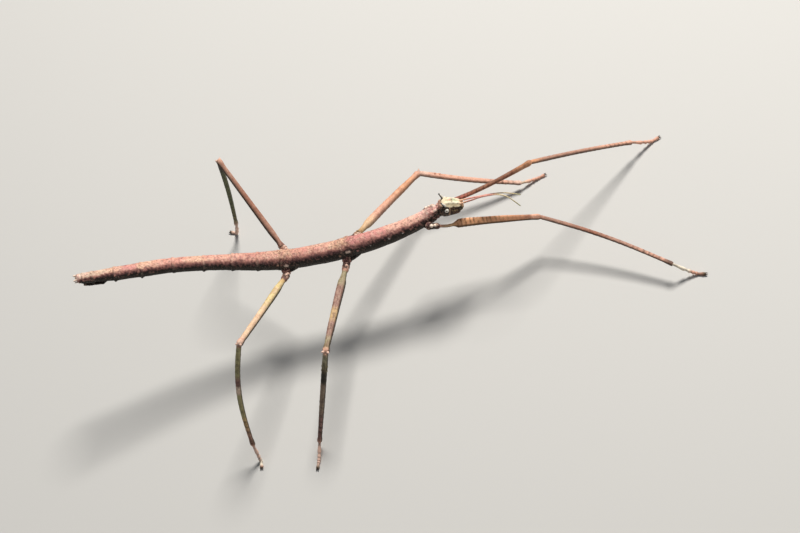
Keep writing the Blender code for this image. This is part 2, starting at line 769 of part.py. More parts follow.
def make_leg(pair, side_word):
    """Coxa, femur, tibia and foot of one leg."""
    sizes = PAIRS[pair]
    tag = "_%s_%s" % (pair, side_word)
    side = SIDES[side_word]
    hip, knee, ankle, foot = joints_of_leg(pair, side_word)
    thigh = (knee - hip).normalized()
    shin = (ankle - knee).normalized()
    first_step = (foot[2] - foot[0]).normalized()

    inner = on_body(sizes["coxa_at"], side * sizes["coxa_side"], -sizes["coxa_drop"])
    reach = (hip - inner).normalized()
    turn = (reach + thigh).normalized()
    radius = sizes["coxa_radius"]

    def coxa_size(share):
        swell = radius * (1.0 + 0.07 * math.sin(math.pi * share) - 0.14 * share ** 4)
        return swell, swell

    shell = limb(inner, hip - turn * GAP / 2, coxa_size, reach, turn, (0, 0.3, 0.5, 0.7, 0.85, 1.0), ease=1)
    bodies = [body_length(sizes["at"] - 6, min(sizes["at"] + 5, NECK), 5, collar=False, grow=GAP + 0.06)]
    part("coxa" + tag, hip, shell, DARK_BROWN, cut=bodies)
    trochanter = hip + turn * GAP / 2

    colour = {"fore": ORANGE_TAN, "middle": YELLOW_TAN, "hind": YELLOW_TAN}[pair]
    shell = femur_shell(pair, side_word, trochanter, knee, turn)
    across = thigh.cross(shin).normalized()
    back = (thigh - shin).normalized()
    teeth = []
    if sizes["teeth"]:
        for way in (1, -1):
            root = knee + across * way * sizes["knee"] * 0.45
            teeth.append(spike(root, root + (across * way * 0.9 + back * 0.9 + thigh * 0.5).normalized()
                               * (sizes["knee"] * 0.6 + sizes["teeth"]), 0.36))
    part("femur" + tag, hip, shell, colour, joined=teeth)

    sway = STANCE[(pair, side_word)][4]
    ahead = shin.cross(Vector((0, 0, 1))).normalized()
    if ahead.x < 0:
        ahead = -ahead

    def tibia_size(share):
        table = ((0.0, sizes["tibia_radius"], sizes["tibia_radius"]),
                 (0.5, sizes["tibia_radius"] * 0.9, sizes["tibia_radius"] * 0.9),
                 (0.93, sizes["tibia_end"], sizes["tibia_end"]),
                 (0.98, sizes["tibia_end"] * 1.18, sizes["tibia_end"] * 1.18),
                 (1.0, sizes["tibia_end"] * 1.1, sizes["tibia_end"] * 1.1))
        return between(table, share)

    def tibia_bow(share):
        return ahead * sway * math.sin(math.pi * share)

    joint = (shin + first_step).normalized()
    shell = limb(knee, ankle - joint * GAP / 2, tibia_size, shin, joint,
                 (0, 0.06, 0.2, 0.4, 0.6, 0.8, 0.93, 0.975, 1.0), bow=tibia_bow)
    lobes = []
    if sizes["lobes"]:
        for place in (0.17, 0.22):
            for way in (1, -1):
                root = knee.lerp(ankle, place)
                lobes.append(spike(root, root + across * way * (sizes["tibia_radius"] + 0.4), 0.42))
    cutter = femur_shell(pair, side_word, trochanter, knee, turn, grow=GAP)
    part("tibia" + tag, knee, shell, OLIVE_BROWN if pair != "fore" else ORANGE_TAN,
         joined=lobes, cut=[cutter])

    make_foot(tag, foot, joint)


def make_foot(tag, path, start_normal):
    """Five short tarsal joints, two claws and the flat pad under them."""
    steps = len(path) - 1
    shift = start_normal * GAP / 2
    rings = []
    for index in range(0, steps + 1):
        share = index / steps
        part_index = max(i for i, end in enumerate(TARSOMERE_ENDS[:-1]) if share >= end - 1e-6)
        low, high = TARSOMERE_ENDS[part_index:part_index + 2]
        inner = (share - low) / (high - low)
        swell = 0.82 + 0.26 * inner
        point = path[index] + (shift if index == 0 else Vector())
        along = (path[min(index + 1, steps)] - path[max(index - 1, 0)]).normalized()
        side = along.cross(Vector((0, 0, 1))).normalized()
        up = side.cross(along)
        ring = []
        for corner in range(LEG_SIDES):
            angle = math.tau * (corner + 0.5) / LEG_SIDES
            offset = (side * math.cos(angle) + up * math.sin(angle)) * TARSUS_RADIUS * swell
            if index == 0:
                offset = offset - along * offset.dot(start_normal) / along.dot(start_normal)
            spot = point + offset
            spot.z = max(0.0, spot.z)
            ring.append(spot)
        rings.append(ring)
    shell = loft(rings)
    claws = []
    tip = path[-1]
    ahead = (path[-1] - path[-2]).normalized()
    for way in (1, -1):
        aim = ahead.copy()
        turn = math.radians(CLAW_SPREAD) * way
        aim = Vector((ahead.x * math.cos(turn) - ahead.y * math.sin(turn),
                      ahead.x * math.sin(turn) + ahead.y * math.cos(turn), 0))
        root = tip - ahead * 0.5 + aim * 0.1
        points = [root, root + aim * CLAW_LENGTH * 0.7 + Vector((0, 0, 0.16)),
                  root + aim * CLAW_LENGTH * 1.25 + Vector((0, 0, -0.08))]
        claws.append(tube(smooth_path(points, 4),
                          [CLAW_RADIUS * size for size in (1, 1, 0.9, 0.75, 0.45)], 6))
    part("tarsus" + tag, path[0], shell, PALE_PINK, joined=claws)


for leftover in list(bpy.data.objects):
    bpy.data.objects.remove(leftover)

insect = bpy.data.objects.new("insect", None)
insect.location = (-CENTRE_AHEAD * MM, -CENTRE_SIDE * MM, 0)
bpy.context.scene.collection.objects.link(insect)

make_thorax()
make_abdomen()
make_tail_plate()
make_head()
make_feelers()
for leg_pair in PAIRS:
    for leg_side in SIDES:
        make_leg(leg_pair, leg_side)
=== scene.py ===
"""The looks of a grown female stick insect, a still, life-size museum model.

Sizes are in millimetres and turn into metres when a mesh is made. Places along the
body are distances ahead of the middle hips on its bent centre line, as in the solids.
"""
import json
import math
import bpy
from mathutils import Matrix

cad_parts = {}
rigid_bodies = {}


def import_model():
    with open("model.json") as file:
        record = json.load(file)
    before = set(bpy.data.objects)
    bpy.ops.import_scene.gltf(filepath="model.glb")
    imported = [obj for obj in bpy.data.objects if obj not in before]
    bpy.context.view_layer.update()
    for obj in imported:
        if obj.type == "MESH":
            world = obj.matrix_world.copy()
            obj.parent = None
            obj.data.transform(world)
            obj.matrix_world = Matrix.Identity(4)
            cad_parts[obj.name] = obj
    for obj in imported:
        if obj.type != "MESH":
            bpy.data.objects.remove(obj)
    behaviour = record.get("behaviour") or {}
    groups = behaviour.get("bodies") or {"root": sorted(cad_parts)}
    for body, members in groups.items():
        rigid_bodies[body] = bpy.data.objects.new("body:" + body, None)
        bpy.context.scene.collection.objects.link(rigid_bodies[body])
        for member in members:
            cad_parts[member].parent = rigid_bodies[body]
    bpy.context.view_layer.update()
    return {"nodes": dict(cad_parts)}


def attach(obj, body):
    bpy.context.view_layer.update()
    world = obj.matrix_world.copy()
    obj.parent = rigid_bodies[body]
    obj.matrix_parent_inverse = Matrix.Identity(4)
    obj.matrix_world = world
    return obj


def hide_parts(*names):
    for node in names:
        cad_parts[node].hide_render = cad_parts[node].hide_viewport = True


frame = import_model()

from types import SimpleNamespace

import bmesh
import bpy
import numpy as np
from mathutils import Matrix, Vector, kdtree, noise

# Stage
# A pale plain floor, big soft studio lamps and a camera that looks down on the insect
# from its right side, rolled over, at the distance of a close portrait.
MM = 0.001
CAMERA_AZIMUTH = math.radians(15.1)
CAMERA_ELEVATION = math.radians(55.0)
CAMERA_ROLL = math.radians(-27.9)
CAMERA_DISTANCE = 472 * MM
CAMERA_TARGET = Vector((2.4, 2.6, 15.7)) * MM
CAMERA_LENS = 85
FLOOR_HALF = 3.0
FLOOR_COLOUR = (0.53, 0.525, 0.51)
SKY_COLOUR = (0.86, 0.9, 0.96)
SKY_STRENGTH = 0.16
LAMPS = (
    # name, position, size across, watts, colour
    ("key_lamp", (0.27, 0.46, 0.71), 0.26, 11.5, (1.0, 0.965, 0.91)),
    ("fill_lamp", (-0.45, -0.6, 0.8), 0.8, 0.7, (0.94, 0.97, 1.0)),
    ("rim_lamp", (0.8, -0.2, 0.35), 0.4, 0.5, (1.0, 0.98, 0.95)),
)


def placed(name, data):
    """A new object in the scene."""
    made = bpy.data.objects.new(name, data)
    bpy.context.scene.collection.objects.link(made)
    return made


back = Vector((math.sin(CAMERA_AZIMUTH) * math.cos(CAMERA_ELEVATION),
               -math.cos(CAMERA_AZIMUTH) * math.cos(CAMERA_ELEVATION),
               math.sin(CAMERA_ELEVATION)))
level = Vector((0, 0, 1)).cross(back).normalized()
upright = back.cross(level)
right = level * math.cos(CAMERA_ROLL) + upright * math.sin(CAMERA_ROLL)
upward = upright * math.cos(CAMERA_ROLL) - level * math.sin(CAMERA_ROLL)
camera = placed("camera", bpy.data.cameras.new("camera"))
camera.data.lens = CAMERA_LENS
camera.data.sensor_width = 36
camera.data.clip_start = 0.01
camera.data.clip_end = 20
turned = Matrix((right, upward, back)).transposed().to_4x4()
turned.translation = CAMERA_TARGET + back * CAMERA_DISTANCE
camera.matrix_world = turned
bpy.context.scene.camera = camera

for name, position, across, watts, colour in LAMPS:
    lamp = placed(name, bpy.data.lights.new(name, "AREA"))
    lamp.data.shape = "DISK"
    lamp.data.size = across
    lamp.data.energy = watts
    lamp.data.color = colour
    lamp.location = position
    lamp.rotation_euler = (-Vector(position)).to_track_quat("-Z", "Y").to_euler()

world = bpy.data.worlds.new("studio")
world.use_nodes = True
world.node_tree.nodes["Background"].inputs["Color"].default_value = (*SKY_COLOUR, 1)
world.node_tree.nodes["Background"].inputs["Strength"].default_value = SKY_STRENGTH
bpy.context.scene.world = world
bpy.context.scene.view_settings.view_transform = "Standard"

floor = placed("floor", bpy.data.meshes.new("floor"))
corners = [(x * FLOOR_HALF, y * FLOOR_HALF, 0) for x, y in ((-1, -1), (1, -1), (1, 1), (-1, 1))]
floor.data.from_pydata(corners, [], [(0, 1, 2, 3)])
floor_paint = bpy.data.materials.new("floor_paint")
floor_paint.use_nodes = True
floor_paint.node_tree.nodes["Principled BSDF"].inputs["Base Color"].default_value = (*FLOOR_COLOUR, 1)
floor_paint.node_tree.nodes["Principled BSDF"].inputs["Roughness"].default_value = 0.9
floor.data.materials.append(floor_paint)

# Trunk
# Thorax and abdomen: a chain of hard rings joined by thin folds, dry and granular,
# pink above and nearly black below, the dark below partly its own colour and partly
# painted shade. Its shell is one of the shells of the skin.
UP = np.array((0, 0, 1.0))
BLACK = (0, 0, 0)
SHIFT = np.array((-9.0, 10.0, 0.0))
THORAX_HEIGHT = 21.9
THORAX_SIDE = -1.8
BENDS = (
    # place, climb, turn
    (-68, -17, 3), (-50, -16.5, 3.5), (-40, -19, -1.5), (-26, -18, -5.5), (-18, -11.5, -5.5),
    (-10, -3, -4), (0, 0.8, -2), (10, 2.5, 3.5), (20, 7, 9), (23, 12, 12), (25.5, 3, 2), (32, -6, -3),
)
LINE_STEP = 0.05
TAIL = -68.45
TAIL_SLANT = 1.2
NECK = 24.7
TRUNK_FRONT = 25.9
THORAX_REARS = (21.2, -1.4, -17.2)
ABDOMEN_LENGTHS = (6.1, 6.3, 7.2, 7.6, 8.0, 6.6, 5.6, 2.3)
BODY_RADII = (
    (-68.6, 1.3), (-64, 1.42), (-58, 1.7), (-50, 1.85), (-34, 1.92), (-23, 2.3), (-17, 2.56), (-12, 2.52),
    (0, 2.6), (6, 2.46), (11, 2.36), (16, 2.12), (20, 2.02), (22.5, 1.88), (25, 1.7),
)
FLAT_BACK = 0.96
TRUNK_SIDES = 66
TRUNK_STEP = 0.21
FOLD_AT = 0.1
FOLD_REACH = 0.42
FOLD_STEP = 0.105
HIP_PLACES = (0.0, -16.1)
PEACH = (0.82, 0.46, 0.35)
SALMON = (0.79, 0.38, 0.3)
ROSE = (0.72, 0.31, 0.28)
SAND = (0.85, 0.54, 0.37)
PALE_CREAM = (0.9, 0.7, 0.53)
KNOB_WHITE = (1.0, 0.84, 0.7)
SPOT_WHITE_AND_GLINT = (1.0, 0.95, 0.88)
NECK_PINK = (0.98, 0.58, 0.52)
FRESH_PEACH = (0.94, 0.56, 0.44)
ROSE_BROWN = (0.4, 0.18, 0.145)
UMBER = (0.19, 0.08, 0.076)
PLUM_BROWN = (0.085, 0.036, 0.036)
BELLY_BROWN = (0.024, 0.018, 0.012)
BACK_COLOURS = (
    # places along the back, each one or two with the colour there
    -68.5, KNOB_WHITE, -65, -63, PALE_CREAM, -59.5, SAND, -56, ROSE, -51.5, SAND, -48, PEACH,
    -43.5, SALMON, -38, SAND, -34, SALMON, -29, PEACH, -24, SALMON, -19, PEACH, -15.8, SAND, -12, SALMON,
    -7, PEACH, -1, SAND, 3, 9, ROSE, 12, 17, 19.5, FRESH_PEACH,
    21, 24, NECK_PINK, 26, SAND,
)
DARK_AND_SHADE_EDGE = (
    # place, degrees from the pattern's middle where the skin is half dark, from its own dark colour and
    # painted shade together
    (-68.5, 96), (-67.0, 66), (-64.5, 50), (-55, 50), (-45, 51), (-35, 50), (-24, 53), (-16, 52),
    (-8, 49), (0, 51), (8, 48), (14, 49), (19, 62), (23, 58), (25, 48),
)
# The pale middle of the pattern is turned to the left, towards the key lamp, so the painted shade lies lower
# on the right.
SHADE_PATTERN_TURN = 14
FLECKS = ((-68, 0.9), (-52, 0.8), (-44, 0.25), (-20, 0.25), (-14, 0.35), (12, 0.35), (18, 0.7), (25, 0.8))
GRAININESS = ((-68, 0.6), (-60, 0.5), (-40, 0.42), (-20, 0.55), (-16, 0.8), (-10, 0.5), (-3, 0.5), (0, 0.8),
              (4, 0.42), (12, 0.38), (20.5, 0.42), (22.4, 0.72), (25, 0.75))
KNOBS = [
    # place, degrees left of the back, radius, length for its width, height, colour
    (24.1, 40, 0.46, 1.0, 0.4, PALE_CREAM), (23.8, -30, 0.34, 1.0, 0.16, SALMON),
]
# The small spots on the flanks are white partly as their own colour and partly as a painted highlight.
for place, turn, *form in (
        (11.2, 61, 0.23, 1.0, 0.2, SPOT_WHITE_AND_GLINT), (6.3, 61, 0.18, 1.0, 0.2, SPOT_WHITE_AND_GLINT),
        (14.8, 64, 0.18, 1.0, 0.2, SPOT_WHITE_AND_GLINT), (0.5, 60, 0.44, 2.1, 0.34, KNOB_WHITE),
        (-1.75, 74, 0.36, 1.2, 0.18, SAND), (2.9, 70, 0.3, 1.3, 0.12, ROSE),
        (-15.6, 70, 0.44, 1.9, 0.34, KNOB_WHITE), (-17.7, 66, 0.32, 1.1, 0.15, SAND)):
    KNOBS += [(place, -turn, *form), (place, turn, *form)]


def read(table, places):
    """Smooth values at many places from rows of (place, value, ...)."""
    rows = np.array(table, float)
    where = np.clip(np.asarray(places, float), rows[0, 0], rows[-1, 0])
    low = np.clip(np.searchsorted(rows[:, 0], where, side="right") - 1, 0, len(rows) - 2)
    share = (where - rows[low, 0]) / (rows[low + 1, 0] - rows[low, 0])
    eased = (share * share * (3 - 2 * share))[..., None]
    return rows[low, 1:] + (rows[low + 1, 1:] - rows[low, 1:]) * eased


def palette(*stops):
    """A table of colours for read. Each colour comes after the place or places where it stands."""
    rows = []
    places = []
    for stop in stops:
        places.append(stop)
        if isinstance(stop, tuple):
            rows += [(place, *stop) for place in places[:-1]]
            places = []
    return rows


def unit(vectors):
    """Vectors of length one."""
    return vectors / np.linalg.norm(vectors, axis=-1, keepdims=True)


def aim(turn, climb):
    """Unit vectors from headings and climbs in degrees."""
    turn = np.radians(turn)
    climb = np.radians(climb)
    return np.stack([np.cos(turn) * np.cos(climb), np.sin(turn) * np.cos(climb), np.sin(climb)], -1)


def bump(value, middle, reach):
    """A round bump of height one."""
    return np.exp(-((value - middle) / reach) ** 2)


def ramp(value, low, high):
    """A smooth step from nought at low to one at high."""
    share = np.clip((value - low) / (high - low), 0, 1)
    return share * share * (3 - 2 * share)


def fade(value, low, high):
    """A smooth step from one at low to nought at high."""
    return 1 - ramp(value, low, high)


def cloud(points, size, seed):
    """Smooth noise of about -1 to 1 at points, in patches of one size."""
    spots = (points.reshape(-1, 3) / size + seed * 17.3).tolist()
    return 2 * np.array([noise.noise(spot) for spot in spots]).reshape(points.shape[:-1])


def spotted(points, size, seed, low, high):
    """One where that noise is over high, nought where it is under low."""
    return ramp(cloud(points, size, seed), low, high)


def coated(colours, *coats):
    """Colours under coats, each a colour and how far it covers them."""
    for colour, share in coats:
        share = np.asarray(share)[..., None]
        colours = np.asarray(colours) * (1 - share) + np.asarray(colour) * share
    return colours


def around(sides):
    """Even turns round a ring, as one row."""
    return np.linspace(0, math.tau, sides, endpoint=False)[None]


def sides_of_body(sides):
    """Even turns round the body, in radians from its left side and in degrees from its back."""
    turns = around(sides)
    leftwards = np.degrees(np.arctan2(np.cos(turns), np.sin(turns)))
    return turns, leftwards, abs(leftwards)


def spun(line, side, up, across, rise):
    """Rings of points beside and above each point of a line."""
    return line[:, None] + side[:, None] * across[..., None] + up[:, None] * rise[..., None]


line_places = np.arange(TAIL - 2, 34, LINE_STEP)
line_bends = read(BENDS, line_places + LINE_STEP / 2)
line_points = np.cumsum(aim(line_bends[:, 1], line_bends[:, 0]) * LINE_STEP, axis=0)
line_points = np.vstack([np.zeros(3), line_points[:-1]])
start = [np.interp(0.0, line_places, line_points[:, axis]) for axis in range(3)]
line_points += np.array((0, THORAX_SIDE, THORAX_HEIGHT)) + SHIFT - start


def line_at(places):
    """Points of the centre line, with the forward, left and up directions there."""
    places = np.asarray(places, float)
    points = np.stack([np.interp(places, line_places, line_points[:, axis]) for axis in range(3)], -1)
    bends = read(BENDS, places)
    ahead = aim(bends[..., 1], bends[..., 0])
    left = unit(np.cross(UP, ahead))
    return points, ahead, left, np.cross(ahead, left)


def on_body(place, side, rise):
    """A point beside and above the centre line."""
    point, _, left, up = line_at(place)
    return point + left * side + up * rise


def ring_faces(count, sides):
    """The numbers of the points of rings, of their neighbours, and the faces between rings."""
    index = np.arange(count * sides).reshape(count, sides)
    after = np.roll(index, -1, axis=1)
    return index, after, np.stack([index[:-1], after[:-1], after[1:], index[1:]], -1).reshape(-1, 4).tolist()


def closed_shell(rings, colours, grain, thorns=0.0):
    """A closed tube through rings of points, with what its surface is painted with.

    rings is (rings, sides, 3) and colours is alike. grain says how granular the
    surface is and thorns where small thorns grow, each one number or one for each point.
    """
    count, sides, _ = rings.shape
    points = np.concatenate([rings.reshape(-1, 3), rings[:1].mean(1), rings[-1:].mean(1)])
    index, after, faces = ring_faces(count, sides)
    for tip, row in ((count * sides, 0), (count * sides + 1, -1)):
        faces.extend([tip, int(a), int(b)] for a, b in zip(index[row], after[row]))
    paint = np.zeros((count, sides, 5))
    paint[..., :3] = colours
    paint[..., 3] = grain
    paint[..., 4] = thorns
    paint = np.concatenate([paint.reshape(-1, 5), paint[:1].mean(1), paint[-1:].mean(1)])
    return points, faces, paint


def shell_mesh(name, points, faces):
    """A mesh from points in millimetres, with its faces turned outwards."""
    mesh = bpy.data.meshes.new(name)
    mesh.from_pydata((np.asarray(points) * MM).tolist(), [], faces)
    work = bmesh.new()
    work.from_mesh(mesh)
    bmesh.ops.recalc_face_normals(work, faces=work.faces[:])
    work.to_mesh(mesh)
    work.free()
    return mesh


skin_shells = []
joints = list(THORAX_REARS)
for length in ABDOMEN_LENGTHS:
    joints.append(joints[-1] - length)

places = np.arange(TAIL, TRUNK_FRONT, TRUNK_STEP)
for joint in joints:
    places = places[abs(places - joint - FOLD_AT) > FOLD_REACH]
    places = np.append(places, joint + FOLD_AT + np.arange(-FOLD_REACH, FOLD_REACH + 0.01, FOLD_STEP))
places = np.sort(places)[:, None]
turns, leftwards, from_back = sides_of_body(TRUNK_SIDES)

reach = read(BODY_RADII, places[:, 0]) * np.ones_like(turns)
for number, joint in enumerate(joints):
    in_abdomen = joint < THORAX_REARS[-1] + 1
    reach += (0.13 if in_abdomen else 0.07) * bump(places, joint + 0.4, 0.42)
    reach -= (0.09 if in_abdomen else 0.035) * bump(places, joint - 0.06, 0.12)
    reach -= 0.04 * bump(places, joint - 1.2, 0.9)
    lumps = np.cos(turns * 7 + number * 2.4) * (0.5 + 0.5 * np.cos(turns * 2 + number))
    reach += 0.09 * lumps * bump(places, joint + 0.38, 0.3)
    below = 0.2 if joint < -45 else 0.07 if in_abdomen else 0.0
    reach += below * bump(places, joint + 0.35, 0.4) * bump(from_back, 122, 16)
in_thorax = ramp(places, -18, -15) * fade(places, 20, 21)
reach += 0.07 * bump(from_back, 0, 7) * in_thorax
reach -= 0.04 * bump(from_back, 14, 8) * in_thorax
reach -= 0.07 * bump(from_back, 104, 6) * in_thorax
reach += 0.05 * bump(from_back, 120, 9)
reach -= 0.06 * bump(from_back, 88, 5) * (1 - in_thorax)
for hip in HIP_PLACES:
    reach += 0.26 * bump(places, hip + 0.2, 1.5) * bump(from_back, 100, 24)
    reach -= 0.12 * bump(places, hip + 2.6, 0.7) * bump(from_back, 96, 30)
reach -= 0.16 * bump(places, 23.9, 0.26) * (1 - 0.6 * ramp(from_back, 90, 140))
reach -= 0.2 * ramp(places, NECK - 0.5, NECK + 0.2)
reach *= 1 - 0.72 * ramp(places, TAIL + 0.7, TAIL - 0.1) ** 2
spots = np.stack([places + 0 * turns, np.cos(turns) * reach, np.sin(turns) * reach], -1)
reach += 0.035 * cloud(spots, 2.4, 1)
reach += 0.02 * cloud(spots, 1.1, 2)
neck_lumps = cloud(spots, 0.66, 12) * ramp(places, 21.3, 22.3)
reach += 0.11 * ramp(neck_lumps, -0.1, 0.5)
knob_shares = []
for place, turn, radius, length, height, _ in KNOBS:
    across = (leftwards - turn) * math.pi / 180 * reach
    away = np.hypot((places - place) / length, across) / radius
    knob_shares.append(fade(away, 0.35, 1.15))
    reach += height * knob_shares[-1]

centre, _, left, up = line_at(places[:, 0])
tall = np.where(np.sin(turns) > 0, FLAT_BACK, 1.0)
rings = spun(centre, left, up, np.cos(turns) * reach, np.sin(turns) * tall * reach)
slant = TAIL_SLANT * ramp(places, TAIL + 2.6, TAIL) * ramp(-np.sin(turns), -0.5, 0.7)
rings += line_at(TAIL)[1] * slant[..., None]

# Its colour: clouded peach and rose above, a ragged edge, plum and near black below,
# which is partly its own dark colour and partly painted shade, with pale flecks in the dark part.
past_shade_edge = abs(leftwards - SHADE_PATTERN_TURN) - read(DARK_AND_SHADE_EDGE, places[:, 0])
past_shade_edge += 5 * cloud(spots, 1.6, 3)
past_shade_edge += 9 * cloud(spots, 0.5, 4)
fleck = spotted(spots, 0.6, 9, 0.36, 0.56) * bump(past_shade_edge, 12, 24)
colours = coated(
    read(palette(*BACK_COLOURS), places + 1.6 * cloud(spots, 2.2, 5)),
    (ROSE, 0.4 * spotted(spots, 0.9, 6, 0.05, 0.5)),
    (PALE_CREAM, 0.28 * spotted(spots, 0.8, 7, 0.15, 0.6)),
    (ROSE_BROWN, ramp(past_shade_edge, -22, -6)),
    (UMBER, ramp(past_shade_edge, -8, 4)),
    (PLUM_BROWN, ramp(past_shade_edge, 3, 13)),
    (BELLY_BROWN, ramp(past_shade_edge, 12, 26)),
    (UMBER, 0.55 * spotted(spots, 0.42, 8, 0.3, 0.62) * fade(past_shade_edge, -14, 0)),
    (SALMON, read(FLECKS, places[:, 0]) * fleck * 0.75),
    # Painted highlight on the raised neck lumps and painted shade between them.
    (KNOB_WHITE, 0.75 * ramp(neck_lumps, 0.12, 0.42) * fade(past_shade_edge, 0, 20)),
    (ROSE_BROWN, 0.6 * ramp(-neck_lumps, 0.12, 0.4)))
for joint in joints:
    ring = bump(places, joint + 0.4, 0.34) * fade(from_back, 66, 92)
    colours = coated(colours, (PALE_CREAM, 0.2 * ring * spotted(spots, 0.8, 10, -0.5, 0.3)),
                     (BLACK, 0.14 * bump(places, joint - 0.06, 0.12)))
# Each knob takes its colour, with painted shade in a ring round its foot.
for knob, share in zip(KNOBS, knob_shares):
    colours = coated(colours, (knob[5], 0.9 * ramp(share, 0.25, 0.8)),
                     (BLACK, 0.35 * bump(share, 0.28, 0.09)))
skin_shells.append(closed_shell(rings, colours, read(GRAININESS, places[:, 0]) + 0 * turns))

# Tail
# The last ring ends in two rough lobes with a pair of short cerci between them, and a
# scoop-shaped plate lies under it. All of it is hard cuticle grown together with the trunk.
PLATE_FRONT = -60.8
PLATE_REAR = -66.6
PLATE_RADIUS = 1.62
PLATE_THICKNESS = 0.34
PLATE_SPREAD = 60
PLATE_DROP = 0.18
LOBE_RADIUS = 0.36
LOBE_LENGTH = 0.95
TAIL_POINTS = (
    # width, rise, radius, place of the tip behind the tail's end
    (0.95, -0.1, 0.2, -0.2), (0.7, -0.62, 0.24, 0.7),
)


def smooth_path(points, count):
    """Even samples of a smooth curve through points."""
    points = [np.asarray(point, float) for point in points]
    ends = [points[0] * 2 - points[1]] + points + [points[-1] * 2 - points[-2]]
    result = []
    for where in np.linspace(0, len(points) - 1, count):
        low = min(int(where), len(points) - 2)
        share = where - low
        a, b, c, d = ends[low:low + 4]
        result.append(0.5 * (b * 2 + (c - a) * share + (a * 2 - b * 5 + c * 4 - d) * share ** 2
                             + (b * 3 - a - c * 3 + d) * share ** 3))
    return np.array(result)


def round_tube(path, radii, sides, ripple=None):
    """Rings of a round tube along a path; ripple adds to the radius at (share, turn)."""
    along = unit(np.gradient(path, axis=0))
    side = np.cross(along, UP)
    steep = np.linalg.norm(side, axis=1) < 0.05
    side[steep] = np.cross(along[steep], (1.0, 0, 0))
    side = unit(side)
    turns = around(sides)
    radii = np.asarray(radii, float)[:, None] * np.ones_like(turns)
    if ripple is not None:
        radii = radii + ripple(np.linspace(0, 1, len(path))[:, None], turns)
    return spun(path, side, np.cross(side, along), np.cos(turns) * radii, np.sin(turns) * radii)


def dome(distance, radius, least):
    """How wide a round end is at a distance from its tip, as a share of its full width."""
    return np.sqrt(1 - (1 - np.clip(distance / radius, least, 1)) ** 2)


def round_ends(count, radius, length):
    """Radii of a rod of one radius whose ends are round."""
    along = np.linspace(0, length, count)
    return np.full(count, float(radius)) * dome(along, radius, 0.02) * dome(length - along, radius, 0.02)


def rod(path, radii, sides, colour, grain, ripple=None):
    """A closed round rod of one colour."""
    return closed_shell(round_tube(path, radii, sides, ripple), colour, grain)


def bent(root, tip, bend, count):
    """A smooth path whose middle is moved off the straight line."""
    return smooth_path([root, (root + tip) / 2 + bend, tip], count)


for side in (1, -1):
    root = on_body(TAIL + 1.7, side * 0.5, 0.28)
    tip = on_body(TAIL - LOBE_LENGTH / 2, side * 0.78, 0.42)
    taper = LOBE_RADIUS * (1 - 0.5 * np.linspace(0, 1, 26) ** 2)
    radii = taper * (round_ends(26, LOBE_RADIUS, 2.6) / LOBE_RADIUS)
    skin_shells.append(rod(bent(root, tip, UP * 0.12, 26), radii, 16, KNOB_WHITE, 0.6, lambda share, turn:
                           0.06 * np.sin(share * 27 + side) * np.cos(turn * 3 + share * 9)))
    for width, rise, radius, end in TAIL_POINTS:
        root = on_body(TAIL + end + 1.4, side * width * 0.8, rise)
        tip = on_body(TAIL + end, side * width, rise * 1.3)
        radii = round_ends(16, radius, 1.5) * (1 - 0.3 * np.linspace(0, 1, 16))
        skin_shells.append(rod(bent(root, tip, UP * -0.08, 16), radii, 12, KNOB_WHITE, 0.4))

share = np.linspace(0, 1, 40)
places = PLATE_FRONT + (PLATE_REAR - PLATE_FRONT) * share
centre, _, left, up = line_at(places)
outer = np.maximum(PLATE_RADIUS, read(BODY_RADII, places)[:, 0] + 0.3 + PLATE_THICKNESS)
outer -= 0.55 * fade(share, 0, 0.16)
spread = np.radians(PLATE_SPREAD * (1 - 0.55 * share ** 2))
rim = np.linspace(-1, 1, 17)[None]
rings = []
for radius, way in ((outer, 1), (outer - PLATE_THICKNESS, -1)):
    angle = -math.pi / 2 + way * spread[:, None] * rim
    wide = radius[:, None] + 0.1 * (1 - rim ** 2) * way
    rings.append(spun(centre, left, up, np.cos(angle) * wide,
                      np.sin(angle) * wide - (PLATE_DROP * share ** 2)[:, None]))
rings = np.concatenate(rings, axis=1)
count, sides, _ = rings.shape
index, _, faces = ring_faces(count, sides)
for row in (0, count - 1):
    for step in range(sides // 2 - 1):
        faces.append([int(index[row, place]) for place in (step, step + 1, -2 - step, -1 - step)])
paint = np.zeros((count * sides, 5))
plate_points = rings.reshape(-1, 3)
paint[:, :3] = coated(BELLY_BROWN, (SAND, 0.8 * spotted(plate_points, 0.7, 11, 0.25, 0.6)))
paint[:, 3] = 0.9
skin_shells.append((plate_points, faces, paint))

# Head
# A hard capsule, cream on top between two low ridges and dark brown at the cheeks,
# with sockets for eyes and feelers, and the mouth parts folded under its front.
HEAD_RINGS = (
    # place, half width, half depth, lift of the middle
    (24.9, 1.4, 1.4, 0.12), (25.4, 1.75, 1.85, 0.24), (26.3, 2.12, 2.42, 0.38), (27.2, 2.26, 2.6, 0.42),
    (28.2, 2.2, 2.45, 0.22), (29.2, 2.05, 2.2, -0.05), (30.1, 1.78, 1.74, -0.2),
    (30.9, 1.3, 1.18, -0.22), (31.5, 0.72, 0.66, -0.22),
)
HEAD_SIDES = 90
HEAD_COUNT = 104
EYE_AT = 27.3
EYE_RISE = 25
EYE_RADIUS = 0.66
EYE_OUT = 0.24
FEELER_SOCKET = (30.75, 0.5, 0.75)
JAW = (30.45, 0.46, -0.66)
JAW_RADIUS = 0.56
CREAM = (0.85, 0.76, 0.53)
BONE = (0.96, 0.92, 0.74)
PALE_GREEN = (0.44, 0.55, 0.34)
OLIVE_TAN = (0.34, 0.24, 0.11)
OLIVE_SHADE = (0.085, 0.075, 0.03)
CHEEK_BROWN = (0.055, 0.021, 0.011)
CHEEK_RED = (0.21, 0.062, 0.027)
MOUTH_PEACH = (0.68, 0.43, 0.25)
PALP_PEACH = (0.544, 0.344, 0.2)
NIGHT_BROWN = (0.026, 0.016, 0.011)
